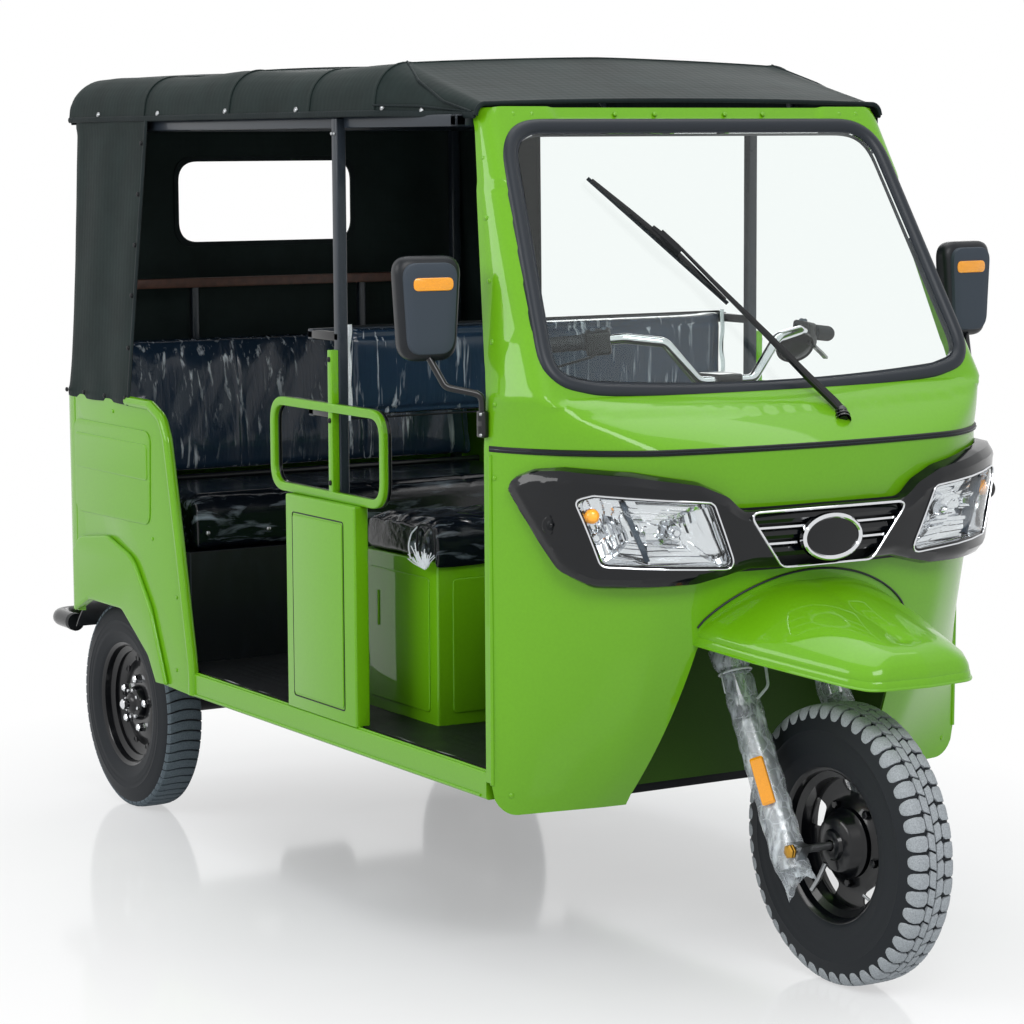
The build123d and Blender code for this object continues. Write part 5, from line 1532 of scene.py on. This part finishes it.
# %% Tyre section
def tyre_section(radius):
    """Half widths and radii across a tyre 112 mm wide, bead to crown."""
    top = radius - 5.5
    return [(39, 156), (45, 160), (50, 170), (54, 186), (55.5, 190), (54.8, 193), (56, 206), (56, radius - 66),
            (55, radius - 54), (56.2, radius - 51),
            (55.2, radius - 48), (52.5, radius - 34), (49, radius - 21), (44.5, radius - 12), (38, radius - 7), (26,
                    radius - 5.8), (0, top)]


def tread_radius(x, radius):
    """Radius of the carcass at a distance from the middle."""
    half = tyre_section(radius)[::-1]
    return float(np.interp(abs(x), [p[0] for p in half[:9]], [p[1] for p in half[:9]]))


TREAD_HIGH = 5.4


def tread(hub, radius, polygons, count, finish):
    """Blocks set round a tyre; polygons are lists of (across, along) points in millimetres."""
    points, faces = [], []
    for k in range(count):
        start_angle = 2 * pi * k / count
        for polygon in polygons:
            middle = np.mean(polygon, axis=0)
            base = len(points)
            for lift, shrink in ((-2.0, 1.0), (TREAD_HIGH - 0.8, 1.0), *((TREAD_HIGH, k) for k in (0.9, 0.45, 0.05))):
                for x, s in polygon:
                    x, s = middle + (np.array([x, s]) - middle) * shrink
                    r = min(tread_radius(x, radius) + lift, radius - 0.1)
                    a = start_angle + s / radius
                    points.append((hub[0] + x, hub[1] + r * cos(a), hub[2] + r * sin(a)))
            n = len(polygon)
            for ring_number in range(4):
                b = base + ring_number * n
                faces += [(b + i, b + (i + 1) % n, b + n + (i + 1) % n, b + n + i) for i in range(n)]
            faces.append(tuple(base + 4 * n + i for i in range(n)))
    return shape("tread", points, faces, finish)


def tyre(name, hub, radius, polygons, count, body, node, tread_finish):
    """A whole tyre: carcass and tread."""
    half = tyre_section(radius)
    section = [(x, r) for x, r in half] + [(-x, r) for x, r in half[-2::-1]] + [(-34, 153.2), (34, 153.2)]
    made = joined(name, [turned("carcass", section, hub, tyre_rubber, 128),
            tread(hub, radius, polygons, count, tread_finish)])
    return mount(made, node, body, crease=35)


LUG = [(19, -9), (24, -15), (39, -16), (46, -15.2), (49, -13), (50.5, -9), (51, -3.5), (51, 3.5), (50.5, 9), (49, 13),
        (46, 15.2),
       (39, 16), (25, 15.5), (19, 8)]
SLANT = [(1.2, -13), (14, -20), (16.8, -14), (16.8, 8), (14, 13), (1.2, 19)]
front_polygons = [LUG, [(-x, s + 18) for x, s in LUG], SLANT, [(-x, s + 18) for x, s in SLANT]]
RIB = [(x, 11 - 9 * (1 - (x / 46) ** 2)) for x in np.linspace(-46, 46, 11)] + [(x, -11.5 - 9 * (1 - (x / 46) ** 2))
        for x in np.linspace(46, -46, 11)]
FRONT_HUB = (0, -1232, 286)
REAR_HUBS = {side: (side * 509, 1078, 267.5) for side in SIDES}
tyre("front_tyre_rubber", FRONT_HUB, FRONT_HUB[2], front_polygons, 48, "front_wheel", "front_tyre", tread_dust_and_sheen)
for side, word in WORD.items():
    hub = REAR_HUBS[side]
    tyre(f"rear_tyre_rubber_{word}", hub, hub[2], [RIB], 62, f"rear_wheel_{word}", f"rear_tyre_{word}", rib_dust_and_sheen)
print("tyres done")

# %% [markdown]
# ## Wheels
# Rims are rolled from steel strip and sprayed gloss black. The pressed disc inside has five petal-
# shaped openings in front, and is closed at the rear, with plated nuts. Both are turned first,
# then the openings are cut.

# %% Rims
RIM = [(-46, 172), (-44, 174), (-42, 173), (-40, 160), (-36, 155), (-21, 153), (-14, 139), (14, 139), (21, 153),
        (36, 155), (40, 160), (42, 173), (44, 174), (46, 172),
       (44, 158), (38, 151), (23, 149), (16, 135), (-16, 135), (-23, 149), (-38, 151), (-44, 158)]


def rosette(hub, radius, count, turn=0.0):
    """Spots evenly round a hub."""
    return [Vector((hub[0], hub[1] + radius * cos(2 * pi * k / count + turn),
            hub[2] + radius * sin(2 * pi * k / count + turn)))
            for k in range(count)]


hub = FRONT_HUB
pressed = [(-4, 46), (-2, 60), (6, 74), (14, 88), (15, 104), (10, 122), (8, 136.5)]
front_disc = turned("front_disc", pressed + [(x + 4, r) for x, r in pressed[::-1]], hub, black_enamel, 120)
petals = []
for k in range(5):
    a = 2 * pi * k / 5 + 0.35
    outline = rounded([(103, -25), (131, -35), (131, 35), (103, 25)], 12, 6)
    spun = [(hub[1] + u * cos(a) - v * sin(a), hub[2] + u * sin(a) + v * cos(a)) for u, v in outline]
    petals.append(plate("cut_petal", "X", (-40, 60), spun, black_enamel, edge=0))
carve(front_disc, *petals)
parts = [turned("rim", RIM, hub, black_enamel, 120), ease(front_disc, 1.2, 2, 50)]
drum = [(-44, 12), (-46, 24), (-44, 30), (-37, 33), (-34, 52), (-30, 58), (-12, 64), (-6, 72), (30, 72), (40, 64),
        (44, 30), (46, 14), (40, 10), (-38, 10)]
parts.append(turned("hub_drum", drum, hub, black_enamel, 72))
for spot in rosette(hub, 84, 5, 0.35 + pi / 5):
    parts.append(turned("nut", [(-6, 0.5), (-6, 7), (-4, 9), (4, 9), (4, 0.5)], (hub[0] + 6, spot.y, spot.z),
            black_enamel, 6))
mount(joined("front_wheel_rim", parts), "front_rim", "front_wheel", crease=40)
valve = bar("front_valve", [(-18, -1232 - 96, 286 - 96), (-26, -1232 - 86, 286 - 86)], 3.2, zinc_steel)
mount(valve, (), "front_wheel")
FASTENERS = (([(30, 0.5), (30, 7), (27, 10.5), (12, 11.5), (10, 13), (9, 13), (9, 0.5)], 66, 5, 0.5, chrome_plate, 6),
             ([(33, 0.5), (33, 4), (31, 5.5), (26, 5.5), (26, 0.5)], 36, 8, 0.2, chrome_plate, 6),
             ([(2, 0.5), (2, 9), (0.5, 11), (-4, 11), (-4, 0.5)], 118, 10, 0.1, black_enamel, 16))
for side, word in WORD.items():
    hub = REAR_HUBS[side]
    flip = lambda profile: [(side * x, r) for x, r in profile]
    parts = [turned("rim", RIM, hub, black_enamel, 120)]
    parts.append(turned("disc", flip([(8, 30), (10, 60), (10, 84), (2, 96), (-2, 112), (4, 124), (8, 136.5),
            (5, 136.5), (0, 124), (-6, 112), (-2, 92), (6, 80), (6, 30)]),
                        hub, black_enamel, 96))
    parts.append(turned("cap", flip([(44, 0.5), (43, 14), (38, 24), (30, 28), (26, 40), (12, 46), (6, 46), (6, 0.5)]),
            hub, black_enamel, 48))
    parts.append(turned("axle_end", flip([(60, 0.5), (60, 8), (56, 13), (44, 14), (44, 0.5)]), hub, chrome_plate, 32))
    for profile, radius, count, turn, finish, steps in FASTENERS:
        parts += [turned("fastener", flip(profile), (hub[0], spot.y, spot.z), finish, steps)
                  for spot in rosette(hub, radius, count, turn)]
    mount(joined(f"rear_wheel_rim_{word}", parts), f"rear_rim_{word}", f"rear_wheel_{word}", crease=40)
print("rims done")

# %% [markdown]
# ## Fork
# Two telescopic legs hold the wheel, still wrapped in clear film that is tied at the top and torn
# open at the foot. Each leg is a plain tube inside a crumpled sleeve: a tube whose radius wanders
# with a fixed noise, its foot pulled out flat.

# %% Fork legs and film
def steer(x, y, z):
    """A point in the steering axis's own frame: z up the stem from the foot, y to the rear."""
    return Vector((x, -1189.8 + 0.8796 * y + 0.4756 * z, 263.2 - 0.4756 * y + 0.8796 * z))


def stem_rod(x, low, high, radius, finish):
    """A round rod along the steering axis, x beside it."""
    return bar("rod", [steer(x, 0, low), steer(x, 0, high)], radius, finish, sides=24)


fork_parts, films = [], []
for side in SIDES:
    x = side * 115
    fork_parts += [stem_rod(x, 180, 442, 20, chrome_plate), stem_rod(x, -26, 300, 25, zinc_steel),
                   stem_rod(x, 292, 322, 27, dark_abs)]
    lug_points = [steer(x, -68, 0), steer(x, -30, -22), steer(x, 0, -24), steer(x, 4, 24), steer(x, -30, 24)]
    lug_rows = [[p + Vector((d, 0, 0)) for p in lug_points] for d in (-12, 12)]
    fork_parts.append(solid("axle_lug", lug_rows, zinc_steel))
    rows = []
    noise = [[random.uniform(-1, 1) for _ in range(28)] for _ in range(60)]
    for i, z in enumerate(np.linspace(-62, 452, 60)):
        row = []
        for k in range(28):
            a = 2 * pi * k / 28
            near = noise[i][k] * 0.3 + noise[i - 1][k] * 0.25 + noise[i][k - 1] * 0.25
            ring_crease = 1.8 * sin(z / 9 + 2.2 * sin(a + z / 70))
            r = 35.5 + 1.4 * near + 0.7 * ring_crease - 2.5 * step_up(z, 200, 400)
            r += 9 * step_up(z, 392, 425) - 6 * exp(-((z - 398) / 10) ** 2)
            foot_pull = 1 - step_up(z, -58, -18)
            wide = r * (1 - 0.1 * foot_pull)
            flat = r * (1 - 0.75 * foot_pull) + 0.5
            y = wide * sin(a) * (1 + 0.7 * foot_pull) - 14 * foot_pull
            tear = foot_pull * (12 - 26 * sin(a) ** 2 - 8 * sin(a) + 3 * noise[0][k])
            row.append(steer(x + flat * cos(a), y, z + tear))
        rows.append(row)
    films.append(solid("film_sleeve", rows, fork_film, caps=False))
    tie = [steer(x + 34 * cos(a), 34 * sin(a), 398 + 3 * sin(a)) for a in around(32)]
    films.append(bar("zip_tie", tie, 2.4, white_film, closed=True, sides=8))
    films.append(bar("zip_tail", route([steer(x + side * 34, -6, 398), steer(x + side * 50, -20, 390),
            steer(x + side * 52, -18, 350)], 20), 1.4, white_film, sides=6))
    spot, out = steer(x + side * 27, -25, 156), Vector((side * 0.72, -0.6, 0.32)).normalized()
    up_leg = steer(0, 0, 1) - steer(0, 0, 0)
    over_leg = out.cross(up_leg).normalized()
    outline = slab(-14, -50, 14, 50, 5)
    amber_rows = [[spot + over_leg * (a * k) + up_leg * (b * k) + out * d for a, b in outline]
            for k, d in ((1, 2), (1, 9), (0.9, 12), (0.02, 12.5))]
    films.append(solid("leg_reflector", amber_rows, amber_acrylic))
    films.append(heads("axle_bolt", [(steer(side * 140, -48, 0), (side, 0, 0)),
            (steer(side * 146, -48, 0), (side, 0, 0))], 15, 7, brass_plate, 6))
outline = rounded([(-149, -34), (149, -34), (149, 20), (60, 34), (-60, 34), (-149, 20)], 16)
yoke_rows = [[steer(a, b, z) for a, b in outline] for z in (440, 472)]
fork_parts.append(ease(solid("yoke", yoke_rows, black_enamel), 3))
fork_parts += [stem_rod(0, 445, 960, 17, zinc_steel), stem_rod(0, 472, 585, 28.5, black_enamel)]
cable = [steer(-98, 26, 455), steer(-66, 4, 440), steer(-52, -22, 398), steer(-66, -30, 352), steer(-96, -22, 330)]
fork_parts.append(bar("brake_cable", cable, 3.2, white_film, bend=24))
fork_parts.append(bar("brake_arm", [(-52, -1228, 250), (-60, -1214, 214), (-62, -1196, 190)], 5, zinc_steel, bend=12))
fork_parts.append(bar("axle", [steer(-137, -48, 0), steer(137, -48, 0)], 8, zinc_steel, sides=18))
mount(joined("fork_legs", fork_parts), "fork", "steering")
mount(joined("fork_film", films), (), "steering", crease=24)
print("fork done")

# %% [markdown]
# ## Handlebar
# A chromed tube bent like a scooter's, with rubber grips, a switch pod and a lever at each
# hand. The bar is a round section carried along the same corners as the CAD tube.

# %% Handlebar and controls
half_bar = [(70, -800, 1195), (145, -785, 1280), (225, -755, 1290), (385, -640, 1272)]
corners = [(-x, y, z) for x, y, z in half_bar[::-1]] + half_bar
parts = [bar("bar_tube", corners, 11, chrome_plate, bend=28, sides=20)]
parts.append(block("bar_clamp", (-32, 32), (-820, -738), (1176, 1210), black_enamel, 6, 3))
parts.append(stem_rod(0, 925, 1004, 21, black_enamel))
mount(joined("handlebar_tube", parts), "handlebar", "steering")
controls = []
for side in SIDES:
    inner, outer = Vector((side * 225, -755, 1290)), Vector((side * 385, -640, 1272))
    along = (outer - inner).normalized()
    rows = []
    for i, s in enumerate(np.linspace(-116, 12, 65)):
        r = 16.2 + 0.8 * (i % 3 == 0) - (7 if i == 64 else 2 if i == 63 else 0) + (2 if i < 4 else 0)
        centre = outer + along * s
        one = along.orthogonal().normalized()
        two = along.cross(one)
        rows.append([centre + (one * cos(a) + two * sin(a)) * r for a in around(20)])
    controls.append(solid("grip", rows, tyre_rubber))
    pod_centre = outer - along * 142
    ahead = along.cross(Vector((0, 0, side))).normalized()
    up_pod = (ahead.cross(along) * side).normalized()
    outline = rounded([(-28, -30), (16, -30), (13, 18), (-25, 26)], 9)
    pod = solid("switch_pod", [[pod_centre + along * d + ahead * a + up_pod * b for a, b in outline]
            for d in (-26, 26)], dark_abs)
    controls.append(ease(pod, 4, 3))
    controls.append(heads("switch_buttons", [(pod_centre - ahead * 10 + up_pod * 22 + along * d, up_pod)
            for d in (-12, 10)], 6, 6, grained_abs, 12))
    pull = [pod_centre + ahead * 8 - up_pod * 14 - along * 10, pod_centre + ahead * 12 - up_pod * 32 + along * 16,
            outer + ahead * 8 - up_pod * 44 - along * 62, outer + ahead * 4 - up_pod * 54 - along * 14]
    controls.append(sweep("lever", route(pull, 24), [(-5, -2.5), (-5, 2.5), (5, 2.5), (5, -2.5)], black_enamel,
            up=(0, 0, 1)))
dial = Vector((234, -724, 1256))
controls.append(heads("dial_face", [(dial, (0.25, 0.75, 0.6))], 42, 26, gloss_abs, 32))
controls.append(heads("dial_back", [(dial, (-0.25, -0.75, -0.6))], 42, 12, gloss_abs, 32))
mount(joined("handlebar_grips", controls), "handlebar_controls", "steering", crease=45)
print("controls done")

# %% [markdown]
# ## Mirrors
# Each mirror is a moulded shell, wider at its top, on a bent arm. A small amber lamp is let
# into its front. The shell is a skin through a few outlines of the same corner count.

# %% Mirrors
for side, word in WORD.items():
    centre = Vector((side * 690, -745, 1367))
    spin = Matrix.Rotation(radians(6.5 * side), 3, "Z")
    place = lambda *local: centre + spin @ Vector(local)
    back_face = rounded([(-60, -104), (60, -104), (73, 106), (-73, 106)], [40, 40, 36, 36], 10)
    rows = []
    for d, scale in [(-15, 0.80), (-12, 0.9), (-6, 0.98), (0, 1.0), (10, 1.0), (18, 0.99), (22.5, 0.965), (23, 0.93),
            (18, 0.915)]:
        rows.append([place(a * scale, d, b * (1 - (1 - scale) * 0.7)) for a, b in back_face])
    shell = solid("mirror_shell", rows, mirror_rim)
    rows = [[place(a * k, d, b * (1 - (1 - k) * 0.72)) for a, b in back_face]
            for d, k in ((-12, 0.83), (-18, 0.82), (-22, 0.8), (-23.2, 0.76), (-23.4, 0.5), (-23.4, 0.02))]
    shell = joined("mirror_shell", [shell, solid("mirror_face", rows, grained_abs)])
    silver = [[place(a * 0.915, d, b * 0.94) for a, b in back_face] for d in (17, 19)]
    pane = solid("mirror_pane", silver, chrome_plate)
    capsule = slab(-43, -13, 43, 13, 12)
    lamp_rows = [[place(a * k - side * 4, d, 50 + b * k) for a, b in capsule]
            for d, k in ((-22, 1), (-24.5, 1), (-26, 0.9), (-26.4, 0.05))]
    lamp_piece = solid("mirror_lamp", lamp_rows, amber_acrylic)
    arm_line = [(side * 609, -822, 1150), (side * 609, -822, 1196), (side * 672, -785, 1212), (side * 690, -752, 1268)]
    arm_piece = bar("mirror_arm", arm_line, 7, black_enamel, bend=20, sides=16)
    bracket = block("mirror_bracket", pair(side, 600, 616), (-834, -808), (1110, 1164), black_enamel, 4, 3)
    clamps = [bar("mirror_clamp", [(side * 609, -822, z), (side * 609, -822, z + 15)], 11, black_enamel, sides=20)
            for z in (1118, 1144)]
    bolts = heads("mirror_bolts", [((side * 617, -829, z), (side, 0, 0)) for z in (1116, 1158)], 4, 3, zinc_steel)
    node = "mirrors" if side < 0 else ()
    mount(joined(f"mirror_{word}", [shell, pane, lamp_piece, arm_piece, bracket, bolts, *clamps]),
            node, crease=40)
print("mirrors done")

# %% [markdown]
# ## Sills, floor and bumper
# The sills are folded channels whose upper lip holds the rubber floor mat. A bright cord
# edges the mat. The rear bumper is one bent tube with rubber ends.

# %% Sills and mat
for side, word in WORD.items():
    outer, lip, inside = side * 600, side * 585, side * 560
    profile = rounded([(inside, 367), (outer, 367), (outer, 425), (lip, 425), (lip, 415), (inside, 415)],
            [4, 7, 6, 2, 1, 3], 5)
    rows = [[(x, y, z) for x, z in profile] for y in (-812, 575)]
    sill = solid(f"sill_{word}", rows)
    fold = bar("sill_fold", [(side * 600.5, -790, 374), (side * 600.5, 570, 374)], 3)
    step_line = bar("sill_step", [(side * 592, -805, 425.5), (side * 592, 570, 425.5)], 2.6)
    mount(joined(f"side_sill_{word}", [sill, fold, step_line]), "side_sills" if side < 0 else (),
            crease=50)
    cord_line = [(side * 580, y, 427 + 1.2 * sin(y / 37)) for y in np.linspace(-800, -262, 40)]
    cord_rear = [(side * 580, y, 427 + 1.2 * sin(y / 29)) for y in np.linspace(76, 560, 40)]
    mount(joined(f"mat_edging_{word}", [bar("edging", line, 1.8, zinc_steel, sides=6)
            for line in (cord_line, cord_rear)]))
rows = []
for y in np.linspace(-815, 698, 160):
    rows.append([(x, y, 425.4 + 0.9 * sin(x / 9) ** 8 + 1.2 * sin(x / 47 + y / 83) * sin(y / 31 + x / 120))
            for x in np.linspace(-583, 583, 130)])
mat = shape("rubber_mat", *rows_skin(rows), floor_mat)
change(mat, "SOLIDIFY", thickness=3 * MM, offset=1)
carve(mat, block("cut_post", (-34, 34), (-840, -760), (400, 460), floor_mat, 0))
mount(mat)
dress("floor_pan", floor_mat)

# %% Bumper and carried-over nodes
line = [(-570, 1362, 445), (-570, 1496, 445), (570, 1496, 445), (570, 1362, 445)]
pieces = [bar("bumper_tube", line, 22, black_enamel, bend=55, sides=20)]
for side in SIDES:
    pieces.append(bar("bumper_end", [(side * 570, 1356, 445), (side * 570, 1374, 445)], 23.5, dark_abs, sides=20))
    pieces.append(block("bumper_bracket", (side * 300 - 8, side * 300 + 8), (1326, 1496), (375, 445), black_enamel, 3))
mount(joined("bumper", pieces), "rear_bumper")
# The wheel arch liner takes the darker recess green, which is painted shade.
for node, finish in (("chassis_frame", chassis_paint), ("wheel_arch_liner", recess_shade_green),
        ("rear_axle", chassis_paint), ("leaf_springs", chassis_paint),
                     ("engine_block", cast_alloy), ("dash_panel", dark_abs), ("brake_pedal",
                             chassis_paint), ("rear_tub", black_enamel)):
    dress(node, finish)

# %% [markdown]
# ## Under the body
# Seen from below, the engine carries fins and a chain cover, and each spring its clips.

# %% Engine detail and springs
fins = [block("fin", (-186, 186), (742, 968), (z, z + 5), cast_alloy, 1.2) for z in range(300, 500, 16)]
fins.append(plate("engine_cover", "X", (168, 196), slab(760, 262, 950, 400, 44), cast_alloy, 8, 4))
fins.append(turned("pulley", [(0, 0.5), (0, 60), (4, 66), (20, 66), (24, 60), (24, 0.5)], (-198, 855, 335),
        zinc_steel, 48))
mount(joined("engine_fins", fins))
clips = []
for side in SIDES:
    for ys, half, foot_z, top_z, radius in (((1040, 1116), 31, 296, 338, 5), ((820, 1250), 28, 318, 342, 3)):
        for y in ys:
            low, high = side * 300 - half, side * 300 + half
            hoop = [(low, y, foot_z), (low, y, top_z), (high, y, top_z), (high, y, foot_z)]
            clips.append(bar("clip", hoop, radius, zinc_steel, bend=2 * radius))
mount(joined("spring_clips", clips))
print("pieces placed")
